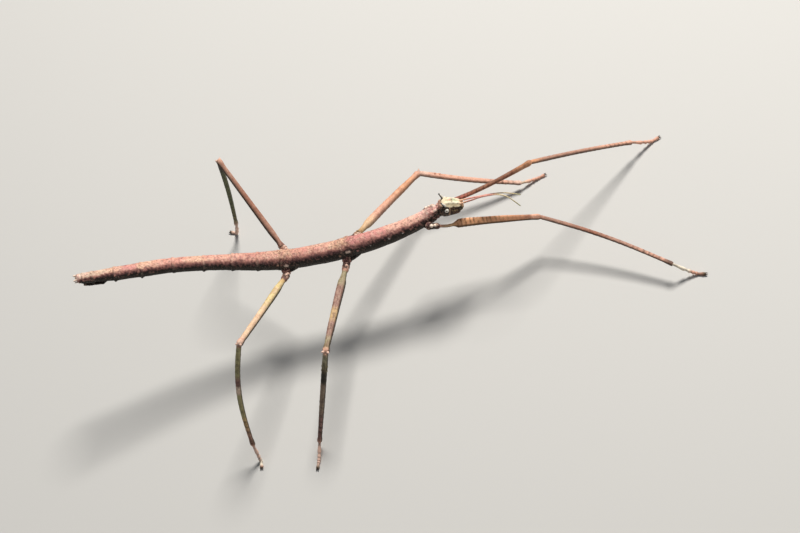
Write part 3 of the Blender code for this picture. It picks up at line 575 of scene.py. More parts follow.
HEAD_TURN = 6
CREAM_EDGE = (
    # place, degrees from the middle of the top plate where the dark cheek begins
    (24.9, 40), (25.8, 35), (26.6, 37), (27.2, 43), (27.7, 48),
    (28.9, 51), (30.3, 52), (31.1, 58), (31.4, 80),
)
TOP_COLOURS = (25.0, NECK_PINK, 25.7, FRESH_PEACH, 26.3, SAND, 26.9, 28.6, CREAM, 29.6,
               30.6, CREAM, 31.0, 31.5, MOUTH_PEACH)
CHEEK_COLOURS = (24.9, 27.6, NIGHT_BROWN, 28.5, 30.2, CHEEK_BROWN,
                 30.7, 31.1, OLIVE_SHADE, 31.5, MOUTH_PEACH)
PITS = (
    # place, degrees left of the back, degrees across, length, darkness
    (28.98, -3, 6, 0.16, 0.9), (31.0, 14, 6, 0.16, 0.9), (28.98, 15, 6, 0.16, 0.9), (31.0, -2, 6, 0.16, 0.9),
    (29.1, -42, 4, 0.14, 0.8), (29.1, 54, 4, 0.14, 0.8),
)
PALPS = (
    # root and tip as place, side and rise, then bend and radius
    ((28.9, 0.88, -1.35), (30.0, 0.8, -2.15), 0.12, 0.25),
    ((29.4, 0.4, -1.3), (30.55, 0.4, -1.8), 0.08, 0.21),
)

head_places = np.concatenate([[24.86], np.linspace(24.9, 31.42, HEAD_COUNT), [31.49]])
sizes = read(HEAD_RINGS, head_places)
sizes[0, :2] *= 0.6
sizes[-1, :2] *= 0.55
wide, deep, lift = sizes.T[..., None]
turns, leftwards, from_back = sides_of_body(HEAD_SIDES)
from_middle = abs(leftwards - HEAD_TURN)
along = head_places[:, None] + 0 * turns


def eye_centre(side):
    """The middle of one eye, mostly sunk in the side of the head."""
    wide, deep, lift = read(HEAD_RINGS, EYE_AT)
    angle = math.radians(EYE_RISE)
    out = np.array((math.cos(angle) * wide, math.sin(angle) * deep))
    share = 1 - (EYE_RADIUS - EYE_OUT) / np.linalg.norm(out)
    return on_body(EYE_AT, side * out[0] * share, lift + out[1] * share)


ridge_turn = 19.5 + 9 * ramp(along, 28.6, 26.6)
push = 0.14 * bump(from_middle, ridge_turn, 7) * ramp(along, 26.4, 27.4)
push -= 0.13 * bump(from_middle, 0, 9) * ramp(along, 27.6, 28.4)
push -= 0.09 * bump(from_middle, 36, 8) * ramp(along, 27.4, 28.2) * fade(along, 30.6, 31.2)
push -= 0.12 * bump(along, 30.95, 0.12) * bump(from_middle, 8, 16)
push -= 0.1 * bump(along, 28.95, 0.14) * bump(from_middle, 8, 10)
push -= 0.1 * bump(from_back, 116, 6) * ramp(along, 27.4, 28.2)
push -= 0.09 * bump(along, 28.35, 0.11) * ramp(from_back, 50, 60) * fade(from_back, 104, 118)
push += 0.08 * bump(along, 26.0, 0.26) * fade(from_back, 60, 100)
push -= 0.1 * bump(along, 25.45, 0.16) * fade(from_back, 100, 140)
push -= 0.09 * bump(along, 26.55, 0.14) * ramp(from_back, 46, 60) * fade(from_back, 110, 130)
spots = np.stack([along, np.cos(turns) * wide, np.sin(turns) * deep], -1)
push += 0.035 * cloud(spots, 0.9, 21)
push += 0.06 * cloud(spots, 0.6, 22) * ramp(along, 27.4, 26.0)
centre, ahead, left, up = line_at(head_places)
rings = spun(centre, left, up, np.cos(turns) * (wide + push), lift + np.sin(turns) * (deep + push))
eye_away = np.full(along.shape, 9.0)
for side in (1, -1):
    away = np.linalg.norm(rings - eye_centre(side), axis=-1)
    eye_away = np.minimum(eye_away, away)
    out = unit(rings - (centre + up * lift)[:, None])
    rings = rings + out * (0.12 * bump(away, 0.82, 0.15))[..., None]
    place, out_to, rise = FEELER_SOCKET
    away = np.linalg.norm(rings - on_body(place, side * out_to, rise), axis=-1)
    rings = rings + (ahead[:, None] * 0.8 + up[:, None] * 0.3) * (0.12 * bump(away, 0.46, 0.12))[..., None]

# The top plate is cream with a green cloud, two pits and a pink spot. A tan stripe runs
# down in front of each eye, and the cheek is red-brown with an olive front and a black edge.
colours = coated(
    read(palette(*TOP_COLOURS), along),
    (PALE_GREEN, 0.95 * bump(leftwards, 12, 11) * bump(along, 29.5, 0.6)),
    # The olive in the groove outside each ridge is partly its own colour and partly painted shade.
    (OLIVE_TAN, 0.6 * bump(from_middle, 39, 6) * bump(along, 29.6, 0.9)),
    (OLIVE_TAN, 0.5 * bump(from_middle, 36, 8) * spotted(spots, 0.5, 28, 0.0, 0.4)
     * ramp(along, 27.4, 28.0)),
    (OLIVE_TAN, 0.6 * bump(from_middle, 2, 5) * bump(along, 28.3, 0.6)),
    (SALMON, 0.8 * bump(leftwards, 13, 7) * bump(along, 28.55, 0.26)),
    (BONE, 0.85 * bump(from_middle, ridge_turn, 5) * ramp(along, 27.4, 28.2)),
    *((CHEEK_BROWN, dark * bump(leftwards, turn, across) * bump(along, place, length))
      for place, turn, across, length, dark in PITS),
    (ROSE_BROWN, 0.45 * spotted(spots, 0.45, 23, 0.15, 0.5) * ramp(along, 27.0, 26.0)))
stripe = 28.2 - np.clip(from_back - 50, 0, 70) * 0.0118
on_stripe = bump(along, stripe, 0.15) * ramp(from_back, 42, 50) * fade(from_back, 108, 116)
cheeks = coated(
    read(palette(*CHEEK_COLOURS), along),
    (CHEEK_RED, np.exp(-((along - 29.26) / 0.42) ** 2 - ((from_back - 72) / 10) ** 2)),
    (NIGHT_BROWN, 0.85 * spotted(spots, 0.55, 26, -0.05, 0.3)
     * bump(from_back, 66, 16) * ramp(along, 28.5, 28.9)),
    (OLIVE_TAN, 0.9 * spotted(spots, 0.5, 27, 0.1, 0.4)
     * bump(from_back, 74, 26) * ramp(along, 28.3, 28.7) * fade(along, 30.0, 30.6)),
    (MOUTH_PEACH, 0.8 * spotted(spots, 0.42, 29, 0.05, 0.35)
     * bump(from_back, 54, 10) * bump(along, 28.6, 0.55)),
    (MOUTH_PEACH, 0.75 * on_stripe),
    (MOUTH_PEACH, 0.42 * (spotted(spots, 0.34, 24, 0.3, 0.55) * fade(along, 27.5, 27.9))),
    (NIGHT_BROWN, 0.9 * ramp(from_back, 106, 113) * fade(from_back, 128, 136)),
    (OLIVE_TAN, 0.5 * ramp(from_back, 132, 142) * ramp(along, 27.0, 28.4)))
edge = read(CREAM_EDGE, head_places) + 5 * cloud(spots, 0.8, 25)
colours = coated(
    colours,
    (cheeks, ramp(from_middle, edge - 3, edge + 3)),
    (NIGHT_BROWN, 0.9 * bump(eye_away, 0.76, 0.12) * (1 - on_stripe)),
    (MOUTH_PEACH, 0.85 * (ramp(along, 30.8, 31.2) * fade(from_back, 50, 75))))
skin_shells.append(closed_shell(rings, colours, 0.3 + 0.42 * ramp(along, 27.2, 25.8)))

for side in (1, -1):
    for root, tip, bend, radius in PALPS:
        root = on_body(root[0], side * root[1], root[2])
        tip = on_body(tip[0], side * tip[1], tip[2])
        path = smooth_path([root, root * 0.45 + tip * 0.55 - (0, 0, bend), tip], 40)
        skin_shells.append(rod(path, round_ends(40, radius, 1.9), 16, PALP_PEACH, 0.2, lambda share, turn:
                               -0.05 * (bump(share, 0.36, 0.03) + bump(share, 0.66, 0.03))))
    jaw = on_body(JAW[0], side * JAW[1], JAW[2])
    path = np.linspace(jaw - (0.62, 0, 0.1), jaw + (0.62, 0, -0.08), 24)
    skin_shells.append(rod(path, round_ends(24, JAW_RADIUS, 1.25), 20, CHEEK_BROWN, 0.2))

# Legs
# Each leg is a short hip, a ring-like knob, a long keeled thigh, a thin keeled shin and
# a five-jointed foot with two claws. The fore thighs are thin where they pass the head.
SIDES = {"left": 1, "right": -1}
MEASURES = (
    # measure, then fore, middle and hind pair
    ("at", 22.0, 0.0, -16.1),
    ("hip_side", 2.78, 3.8, 3.6),
    ("hip_drop", 0.66, 1.7, 1.6),
    ("coxa_at", 20.6, 0.0, -16.1),
    ("coxa_side", 1.3, 0.9, 0.9),
    ("coxa_drop", 0.8, 0.35, 0.35),
    ("coxa_radius", 0.9, 1.08, 1.08),
    ("femur", 28.95, 27.3, 28.6),
    ("deep", 1.12, 1.08, 0.92),
    ("wide", 0.52, 1.02, 0.86),
    ("roll", 46, 0, 0),
    ("bow", -0.35, 0.25, 0.2),
    ("knee", 0.8, 0.86, 0.84),
    ("tibia", 35.9, 27.1, 30.7),
    ("tibia_radius", 0.56, 0.7, 0.66),
    ("tibia_end", 0.48, 0.5, 0.5),
    ("tarsus", 9.0, 6.8, 7.3),
    ("ankle", 4.8, 1.9, 5.5),
    ("spurs", 0, 0.55, 0.2),
    ("lobes", False, True, False),
)
PAIRS = {pair: SimpleNamespace(**{row[0]: row[column] for row in MEASURES})
         for column, pair in enumerate(("fore", "middle", "hind"), 1)}
STANCE = {
    # heading and climb of the thigh, heading of shin and foot, sway of the shin
    "fore_right": (6.5, -26.6, -35.3, -19, 0.9),
    "fore_left": (3.0, 11.3, 28.9, 19, -0.4),
    "middle_right": (-105.8, 9.3, -133.3, -105.7, 0.0),
    "middle_left": (48.0, -16.2, -9.7, 14.4, -0.5),
    "hind_right": (-114.8, 23.7, -120.3, -89.1, -2.0),
    "hind_left": (115.3, 30.3, 165.8, 149.7, 0.9),
}
HIP_LEAN = {"fore_right": (-0.54, -0.37, 0.52), "fore_left": (0.13, 0.38, -1.24),
            "middle_right": (-0.95, 0.0, 0.0), "middle_left": (2.0, -0.2, 0.0), "hind_right": (0.3, 0.0, 0.0)}
THIGH_BEND = {"fore_left": (0.0, 0.0, -0.8), "middle_right": (-0.2, 0.07, 0.0),
              "middle_left": (-0.14, 0.2, 0.16)}
FORE_NECK_START = 0.092
FORE_NECK_RADIUS = 0.36
FORE_NECK_BEND = 0.45
HIP_RADIUS = 1.08
WEB_AHEAD = 2.9
TOOTH_SPACING = {"fore": 1.05, "middle": 1.35, "hind": 1.35}
SHIN_TOOTH_SPACING = 1.6
BAND_SPACING = 1.12
SHIN_BAND_SPACING = 1.45
SOLE_LIFT = 0.34
FLAT_FOOT = 1.7
FOOT_CURVE = 1.25
FLOOR_GAP = 0.01
HIP_KNOBS = {
    # on a right hip: mm along the thigh, turn round it in degrees, radius
    "fore": ((0.1, 58, 0.44), (0.95, 62, 0.32)),
    "middle": ((0.0, 112, 0.6), (0.85, 118, 0.32), (-0.9, 132, 0.3)),
    "hind": ((0.25, 123, 0.6), (0.95, 120, 0.3), (-0.8, 146, 0.28)),
}
THIGH_KNOBS = (
    # share of the length, turn round it in radians, height
    (0.062, 2.9, 0.16), (0.058, 0.5, 0.16), (0.075, 3.9, 0.12),
)
KEEL_SHADE = {
    # turns round the thigh and the shin where a dark line of painted shade runs, in degrees,
    # then how wide it is on the thigh as the cosine of its edge, and how dark
    "fore_right": (-64, -8, 0.68, 0.92),
    "fore_left": (172, -30, 0.68, 0.35),
    "middle_right": (196, 202, 0.68, 0.92),
    "middle_left": (-28, -22, 0.72, 0.4),
    "hind_right": (207, 200, 0.68, 0.92),
    "hind_left": (176, -62, 0.25, 0.85),
}
TARSOMERE_ENDS = (0.0, 0.4, 0.56, 0.68, 0.77, 1.0)
TARSUS_RADIUS = 0.48
COXA_SIDES = 30
FEMUR_SIDES = 20
TIBIA_SIDES = 16
FOOT_SIDES = 14
LIMB_STEP = 0.23

ORANGE_TAN = (0.74, 0.36, 0.19)
GOLD = (0.88, 0.54, 0.26)
BRIGHT_ORANGE = (1.0, 0.53, 0.27)
FAWN = (0.34, 0.135, 0.08)
RUST = (0.35, 0.145, 0.085)
RED_BROWN = (0.5, 0.14, 0.11)
BAND_BROWN = (0.14, 0.05, 0.025)
PINK_TAN = (0.76, 0.42, 0.3)
OLIVE_BROWN = (0.105, 0.078, 0.042)
OLIVE = (0.23, 0.195, 0.085)
PALE_OLIVE = (0.32, 0.28, 0.16)
LIGHT_OLIVE = (0.45, 0.41, 0.2)
LEAF_OLIVE = (0.13, 0.15, 0.06)
DARK_OLIVE = (0.036, 0.03, 0.017)
YELLOW_TAN = (0.64, 0.44, 0.2)
STRAW = (0.86, 0.6, 0.37)
LEMON_TAN = (0.74, 0.6, 0.26)
MOTTLED_TAN = (0.46, 0.255, 0.185)
MAUVE_TAN = (0.31, 0.165, 0.135)
BARK_BROWN = (0.17, 0.09, 0.06)
GREY_BROWN = (0.33, 0.245, 0.17)
SHIN_OLIVE = (0.52, 0.48, 0.3)
PALE_PINK = (0.8, 0.55, 0.44)
FOOT_CREAM = (0.84, 0.65, 0.47)
FOOT_WHITE = (0.94, 0.86, 0.7)
LEG_COLOURS = {
    # colours along thigh, shin and foot, each after the shares of the length where it
    # stands, then the colour and strength of the mottling on thigh and shin
    "fore_right": (
        (0, BELLY_BROWN, 0.07, PLUM_BROWN, 0.092, PINK_TAN, 0.14, STRAW, 0.2, GOLD, 0.23,
         0.36, BRIGHT_ORANGE, 0.75, ORANGE_TAN, 0.9, RUST, 0.94, 1, PINK_TAN),
        (0, PINK_TAN, 0.1, MOTTLED_TAN, 0.4, RUST, 0.6, MOTTLED_TAN, 0.92, PINK_TAN, 0.97,
         1, BARK_BROWN),
        (0, 0.45, FOOT_WHITE, 0.62, PINK_TAN, 0.85, MOTTLED_TAN, 1, OLIVE_BROWN),
        (ORANGE_TAN, 0.3), (BARK_BROWN, 0.35)),
    "fore_left": (
        (0, PLUM_BROWN, 0.08, 0.3, RED_BROWN, 0.5, 0.8, RUST, 0.93, 1, ORANGE_TAN),
        (0, ORANGE_TAN, 0.15, 0.5, MOTTLED_TAN, 0.8, 1, PINK_TAN),
        (0, 0.9, PINK_TAN, 1, MOTTLED_TAN),
        (RUST, 0.4), (BARK_BROWN, 0.3)),
    "middle_right": (
        (0, PLUM_BROWN, 0.055, BARK_BROWN, 0.075, PINK_TAN, 0.1, 0.22, PALE_OLIVE,
         0.3, 0.48, MAUVE_TAN, 0.56, 0.62, YELLOW_TAN, 0.7,
         0.8, MAUVE_TAN, 0.88, PALE_OLIVE, 0.95, OLIVE, 1, PINK_TAN),
        (0, PINK_TAN, 0.05, SHIN_OLIVE, 0.14, PALE_OLIVE, 0.21, OLIVE_BROWN, 0.24,
         0.32, DARK_OLIVE, 0.36, 0.62, GREY_BROWN, 0.75, 0.95, MAUVE_TAN, 1, PINK_TAN),
        (0, 0.75, PALE_PINK, 1, OLIVE_BROWN),
        (BARK_BROWN, 0.55), (DARK_OLIVE, 0.45)),
    "middle_left": (
        (0, MOTTLED_TAN, 0.06, YELLOW_TAN, 0.2, STRAW, 0.35, PINK_TAN, 0.85, ORANGE_TAN, 1, PINK_TAN),
        (0, PALE_PINK, 0.2, 0.8, PINK_TAN, 1, PALE_PINK),
        (0, FOOT_CREAM, 0.4, 0.9, PINK_TAN, 1, MOTTLED_TAN),
        (RUST, 0.3), (RUST, 0.25)),
    "hind_right": (
        (0, PLUM_BROWN, 0.055, BARK_BROWN, 0.078, MAUVE_TAN, 0.1, YELLOW_TAN, 0.17,
         0.4, LEMON_TAN, 0.6, 0.9, STRAW, 0.96, PINK_TAN, 1, PALE_PINK),
        (0, PINK_TAN, 0.04, 0.3, LIGHT_OLIVE, 0.36, 0.41, MAUVE_TAN,
         0.43, 0.48, PALE_CREAM, 0.51, 0.68, LIGHT_OLIVE, 0.76, YELLOW_TAN,
         0.92, MOTTLED_TAN, 0.97, BARK_BROWN, 1, PINK_TAN),
        (0, 0.5, PALE_PINK, 0.85, FOOT_WHITE, 1, MOTTLED_TAN),
        (MOTTLED_TAN, 0.35), (DARK_OLIVE, 0.4)),
    "hind_left": (
        (0, PINK_TAN, 0.1, MOTTLED_TAN, 0.5, FAWN, 0.95, MOTTLED_TAN, 1, PINK_TAN),
        (0, PINK_TAN, 0.05, DARK_OLIVE, 0.3, 0.7, LEAF_OLIVE, 0.92, OLIVE, 1, PALE_PINK),
        (0, 0.85, PALE_PINK, 1, OLIVE_BROWN),
        (RUST, 0.35), (DARK_OLIVE, 0.5)),
}


def foot_path(ankle, turn, length):
    """Points from the ankle down to the floor, then flat along it."""
    drop = ankle[2] - SOLE_LIFT
    out = np.linspace(0, 1, 61)[:, None]

    def points(reach):
        left_over = np.clip(1 - out * reach / max(reach - FLAT_FOOT, 0.1), 0, None)
        lift = SOLE_LIFT - ankle[2] + drop * left_over ** FOOT_CURVE
        return ankle + aim(turn, 0) * out * reach + UP * lift

    low = 0.0
    high = length
    for _ in range(30):
        middle = (low + high) / 2
        if np.linalg.norm(np.diff(points(middle), axis=0), axis=1).sum() > length:
            high = middle
        else:
            low = middle
    return points(low)


def leg_in_stance(name):
    """The sizes, joints and directions of one leg."""
    pair, side_word = name.split("_")
    size = PAIRS[pair]
    side = SIDES[side_word]
    thigh_turn, thigh_climb, shin_turn, foot_turn, sway = STANCE[name]
    hip = on_body(size.at, side * size.hip_side, -size.hip_drop) + HIP_LEAN.get(name, (0, 0, 0))
    knee = hip + aim(thigh_turn, thigh_climb) * size.femur
    fall = math.degrees(math.asin((knee[2] - size.ankle) / size.tibia))
    ankle = knee + aim(shin_turn, -fall) * size.tibia
    thigh = unit(knee - hip)
    shin = unit(ankle - knee)
    return SimpleNamespace(
        name=name, pair=pair, size=size, side=side, sway=sway, fore=pair == "fore",
        hip=hip, knee=knee, ankle=ankle, foot=foot_path(ankle, foot_turn, size.tarsus),
        thigh=thigh, shin=shin, across=unit(np.cross(thigh, shin)), keels=np.radians(KEEL_SHADE[name][:2]),
        seed=31 + 3 * list(LEG_COLOURS).index(name))


def limb_rings(limb, deep, wide, sides, bow, roll, keel):
    """Rings of a leg length: bow moves its middle, keel gives the section at (share, turn)."""
    axis = limb.tip - limb.root
    along = unit(axis)
    side = unit(np.cross(along, UP))
    up = np.cross(side, along)
    turned_up = up * math.cos(roll) + side * math.sin(roll)
    turned_side = side * math.cos(roll) - up * math.sin(roll)
    turns = around(sides)
    section = keel(limb.shares[:, None], turns)
    return spun(limb.root + axis * limb.shares[:, None] + bow, turned_up[None], turned_side[None],
                np.sin(turns) * deep[:, None] * section, np.cos(turns) * wide[:, None] * section)


def stretched(root, tip, before, after, first, last):
    """A limb whose ends go past its joints and are round caps of the radii first and last.

    shares run along the whole limb and old from joint to joint; far is old as a column.
    """
    along = unit(tip - root)
    root = root - along * before
    tip = tip + along * after
    length = np.linalg.norm(tip - root)
    shares = np.linspace(0, 1, int(length / LIMB_STEP))
    old = (shares * length - before) / (length - before - after)
    caps = dome(shares * length, first, 0.03) * dome((1 - shares) * length, last, 0.03)
    return SimpleNamespace(root=root, tip=tip, length=length, caps=caps,
                           shares=shares, old=old, far=old[:, None])


def banded(stops, shares, turns):
    """Colours along a limb, the same all round it."""
    return read(palette(*stops), shares)[:, None] * np.ones_like(turns)[..., None]


def edges(turns, sharpness):
    """One on the four keels of a limb and nought between them."""
    return np.abs(np.cos(2 * turns - math.pi / 2)) ** sharpness


def hip_shells(leg):
    """A hip, the pale knobs on it and the dark web ahead of it."""
    size = leg.size
    inner = on_body(size.coxa_at, leg.side * size.coxa_side, -size.coxa_drop)
    share = np.linspace(0, 1, 44)
    path = inner + (leg.hip + unit(leg.hip - inner) * 0.25 - inner) * share[:, None]
    radii = size.coxa_radius * (1.0 + 0.1 * bump(share, 0.62, 0.12) - 0.1 * bump(share, 0.8, 0.04)
                                + 0.05 * bump(share, 0.88, 0.05))
    if not leg.fore:
        radii *= 1.3 - 0.46 * share
    radii *= np.sqrt(np.clip(1 - np.clip((share - 0.86) / 0.15, 0, 1) ** 2, 0.01, 1))
    rings = round_tube(path, radii, COXA_SIDES, lambda s, t: (
        0.07 * np.cos(t * 5 + s * 3) * bump(s, 0.7, 0.14) + 0.05 * np.cos(t * 9) * bump(s, 0.9, 0.06)))
    colours = read(palette(0, BELLY_BROWN, 0.5, PLUM_BROWN, 0.75, UMBER, 1, PLUM_BROWN), share)[:, None]
    yield closed_shell(rings, coated(
        colours,
        (SALMON, (0.35 if leg.fore else 0.6) * spotted(rings, 0.75, leg.seed, 0.26, 0.6)),
        (PALE_CREAM, 0.6 * spotted(rings, 0.55, leg.seed + 1, 0.48, 0.65))), 0.8)

    beside = unit(np.cross(leg.thigh, UP))
    above = np.cross(beside, leg.thigh)
    for along, turn, radius in HIP_KNOBS[leg.pair]:
        turn = math.radians(turn if leg.side < 0 else 180 - turn)
        out = beside * math.cos(turn) + above * math.sin(turn)
        middle = leg.hip + leg.thigh * along + out * (HIP_RADIUS - radius)
        path = middle + np.linspace(-radius, radius, 13)[:, None] * np.array((1.0, 0, 0))
        yield rod(path, round_ends(13, radius, 2 * radius), 14, KNOB_WHITE if leg.fore else PALE_PINK, 0.25)
    if not leg.fore:
        root = on_body(size.at + WEB_AHEAD, leg.side * 1.7, -1.3)
        end = inner * 0.3 + leg.hip * 0.7
        path = smooth_path([root, root * 0.5 + end * 0.5 + (0.25, 0, 0), end], 24)
        yield rod(path, np.linspace(0.5, 0.74, 24), 18, BELLY_BROWN, 0.7)


def near_knob(limb, share, turn, knob, length, across):
    """One on a small knob of a thigh, less over a length in mm and a turn in radians from it."""
    at, where, _ = knob
    return np.exp(-((share - at) * limb.length / length) ** 2 - ((turn - where) / across) ** 2)


def thigh_rings(leg, limb):
    """The shape of a thigh: knobs and a neck at its root, then four finely toothed keels."""
    size, fore, knee = leg.size, leg.fore, leg.size.knee
    if fore:
        table = ((0.0, 0.8, 0.8), (0.065, 0.76, 0.76), (FORE_NECK_START, FORE_NECK_RADIUS, FORE_NECK_RADIUS),
                 (0.2, 0.4, 0.36), (0.265, size.deep, size.wide), (0.6, size.deep * 0.88, size.wide * 1.02),
                 (0.93, knee * 0.92, knee * 0.84))
    else:
        table = ((0.0, 0.92, 0.92), (0.03, 0.94, 0.94), (0.048, 0.76, 0.76), (0.062, 0.84, 0.82),
                 (0.076, 0.76, 0.74), (0.098, 0.67, 0.65), (0.14, 0.77, 0.73), (0.21, size.deep, size.wide),
                 (0.7, size.deep * 0.86, size.wide * 0.86), (0.93, knee * 0.88, knee * 0.82))
    deep, wide = read(table + ((0.98, knee, knee), (1.0, knee * 0.95, knee * 0.95)), limb.old).T
    outward = np.array((0, leg.side, 0)) if fore else -np.cross(np.cross(leg.thigh, UP), leg.thigh)
    inside = np.clip(limb.old, 0, 1)
    amount = size.bow * np.sin(math.pi * inside)
    if fore:
        amount = amount + FORE_NECK_BEND * bump(inside, 0.15, 0.08)
    roll = math.radians(size.roll) * leg.side * math.copysign(1, leg.thigh[0])

    def keel(s, turn):
        square = 1 - 0.055 * np.cos(4 * turn) * ramp(s, 0.1, 0.3)
        edge = 0.05 * edges(turn, 12) * ramp(s, 0.12, 0.3)
        teeth = 1 + 0.7 * np.sin(s * limb.length / TOOTH_SPACING[leg.pair] * math.tau)
        saw = 0.045 * teeth * np.abs(np.cos(turn - math.pi / 2)) ** 6 * bump(s, 0.3, 0.22) if fore else 0
        knobs = sum(knob[2] * near_knob(limb, s, turn, knob, 0.5, 0.55) for knob in THIGH_KNOBS)
        return square + edge * teeth + saw + knobs

    bend = np.array(THIGH_BEND.get(leg.name, (0.0, 0.0, 0.0)))
    bow = outward * amount[:, None] + bend * np.sin(math.pi * inside)[:, None]
    return limb_rings(limb, deep * limb.caps, wide * limb.caps, FEMUR_SIDES, bow, roll, keel)


def thigh_shell(leg):
    """A thigh with its mottling, its bands or pale ridges, and a dark line of painted shade along one keel.
    """
    size, side, fore, seed = leg.size, leg.side, leg.fore, leg.seed
    stops, _, _, (mottle, strength), _ = LEG_COLOURS[leg.name]
    *_, keel_edge, keel_shade = KEEL_SHADE[leg.name]
    limb = stretched(leg.hip, leg.knee, 0.35, size.knee * 0.5, 0.7, size.knee * 0.95)
    rings = thigh_rings(leg, limb)
    turns = around(FEMUR_SIDES)
    far = limb.far
    lengthways = far * size.femur
    on_keel = np.cos(turns - leg.keels[0])
    blotch = ramp(cloud(rings, 1.0, seed + 2) + 0.6 * cloud(rings, 0.45, seed), 0.1, 0.5)
    paleness = 0.1 if fore or side > 0 else 0.4 if leg.pair == "hind" else 0.15
    coats = [(mottle, strength * blotch * ramp(far, 0.09, 0.2)),
             (PALE_CREAM, paleness * (spotted(rings, 0.6, seed + 9, 0.22, 0.55) * ramp(far, 0.09, 0.16)))]
    if fore:
        wander = 0.8 * np.sin(lengthways * 1.7)
        beat = np.sin(lengthways / BAND_SPACING * math.tau + 0.9 * np.sin(turns * 2) + wander)
        beat += 0.5 * cloud(rings, 0.7, seed + 1)
        band = ramp(beat, 0.35, 0.85) * ramp(far, 0.2, 0.24) * (1 - 0.7 * ramp(far, 0.45, 0.75))
        band *= fade(far, 0.88, 0.93)
        band *= 0.45 + 0.55 * ramp(np.sin(turns), -0.6, 0.3)
        coats.append((BAND_BROWN, 0.8 * band))
    else:
        from_keel = np.degrees(np.arccos(on_keel))
        ridge = bump(from_keel, 66, 11) + bump(from_keel, 112, 13)
        groove = bump(from_keel, 89, 8) * (0.6 + 0.4 * np.sin(lengthways * 2.3))
        coats += [(PALE_CREAM, paleness * ridge * ramp(far, 0.15, 0.3)),
                  (BARK_BROWN if side < 0 else RUST, 0.65 * groove * ramp(far, 0.2, 0.5))]
    # A dark line of painted shade along one keel.
    line = ramp(on_keel, keel_edge, keel_edge + 0.26) * ramp(far, 0.06, 0.12)
    coats.append((DARK_OLIVE, keel_shade * line))
    if not fore:
        coats.append((BELLY_BROWN, 0.85 * bump(lengthways, 1.45, 0.22)))
    elif side > 0:
        coats.append((SAND, bump(on_keel, -1, 0.3) * ramp(far, 0.06, 0.12)))
    for knob in THIGH_KNOBS:
        near = near_knob(limb, limb.shares[:, None], turns, knob, 0.55, 0.6)
        coats.append((PALE_CREAM if fore else PALE_PINK, 0.9 * ramp(near, 0.25, 0.7)))
    grain = (0.25 if fore else 0.36) + 0.6 * fade(far, 0.06, 0.11) + 0 * turns
    thorns = 0.9 * edges(turns, 8) * ramp(far, 0.1, 0.2)
    return closed_shell(rings, coated(banded(stops, limb.old, turns), *coats), grain, thorns)


def shin_shells(leg):
    """The spurs at a knee, the shin with its keels and bands, and the lobes near its root."""
    size, seed, shin = leg.size, leg.seed, leg.shin
    _, stops, _, _, (mottle, strength) = LEG_COLOURS[leg.name]
    if size.spurs:
        for way in (1, -1):
            base = leg.knee + leg.across * way * size.knee * 0.4
            heading = unit(leg.across * way * 0.9 + unit(leg.thigh - shin) * 0.9 + leg.thigh * 0.5)
            point = base + heading * (size.knee * 0.6 + size.spurs)
            radii = 0.42 * (1 - 0.78 * np.linspace(0, 1, 18) ** 1.2)
            radii *= np.minimum(1, np.linspace(1.6, 0.35, 18) + 0.2)
            yield rod(bent(base, point, leg.thigh * 0.05, 18), radii, 12, PALE_PINK, 0.3)

    thick = size.tibia_radius
    end = size.tibia_end
    limb = stretched(leg.knee, leg.ankle, 0.0, 0.2, thick, end)
    far = limb.far
    table = ((0.0, thick * 0.95), (0.5, thick * 0.9), (0.93, end), (0.98, end * 1.18), (1.0, end * 1.1))
    radius = read(table, limb.old)[:, 0] * limb.caps
    beside = unit(np.cross(shin, UP))
    if beside[0] < 0:
        beside = -beside
    bow = beside * (leg.sway * np.sin(math.pi * np.clip(limb.old, 0, 1)))[:, None]

    def keel(s, turn):
        saw = 1 + 0.5 * np.sin(s * limb.length / SHIN_TOOTH_SPACING * math.tau)
        return 1 - 0.05 * np.cos(4 * turn) + 0.06 * edges(turn, 10) * saw * ramp(s, 0.05, 0.15)

    rings = limb_rings(limb, radius, radius, TIBIA_SIDES, bow, 0.0, keel)
    turns = around(TIBIA_SIDES)
    blotch = ramp(cloud(rings, 0.9, seed + 1) + 0.5 * cloud(rings, 0.4, seed + 2), 0.05, 0.45)
    band = np.sin(far * size.tibia / SHIN_BAND_SPACING * math.tau + 0.8 * cloud(rings, 1.5, seed))
    colours = coated(
        banded(stops, limb.old, turns),
        (mottle, strength * blotch * fade(far, 0.94, 0.98)),
        (BLACK, 0.5 * ramp(band, 0.2, 0.8) * bump(far, 0.82, 0.13)),
        # A dark line of painted shade along one keel of the shin.
        (DARK_OLIVE, 0.8 * ramp(np.cos(turns - leg.keels[1]), 0.7, 0.93)))
    yield closed_shell(rings, colours, 0.35, 0.6 * edges(turns, 8) * np.ones_like(far))

    if size.lobes:
        for where in (0.155, 0.2):
            for way in (1, -1):
                base = leg.knee + (leg.ankle - leg.knee) * where
                point = base + leg.across * way * (thick + 0.12) + shin * 0.15
                radii = np.linspace(0.52, 0.26, 14) * np.minimum(1, np.linspace(2.4, 0.5, 14))
                yield rod(bent(base, point, 0, 14), radii, 12, OLIVE if leg.side < 0 else PINK_TAN, 0.3)


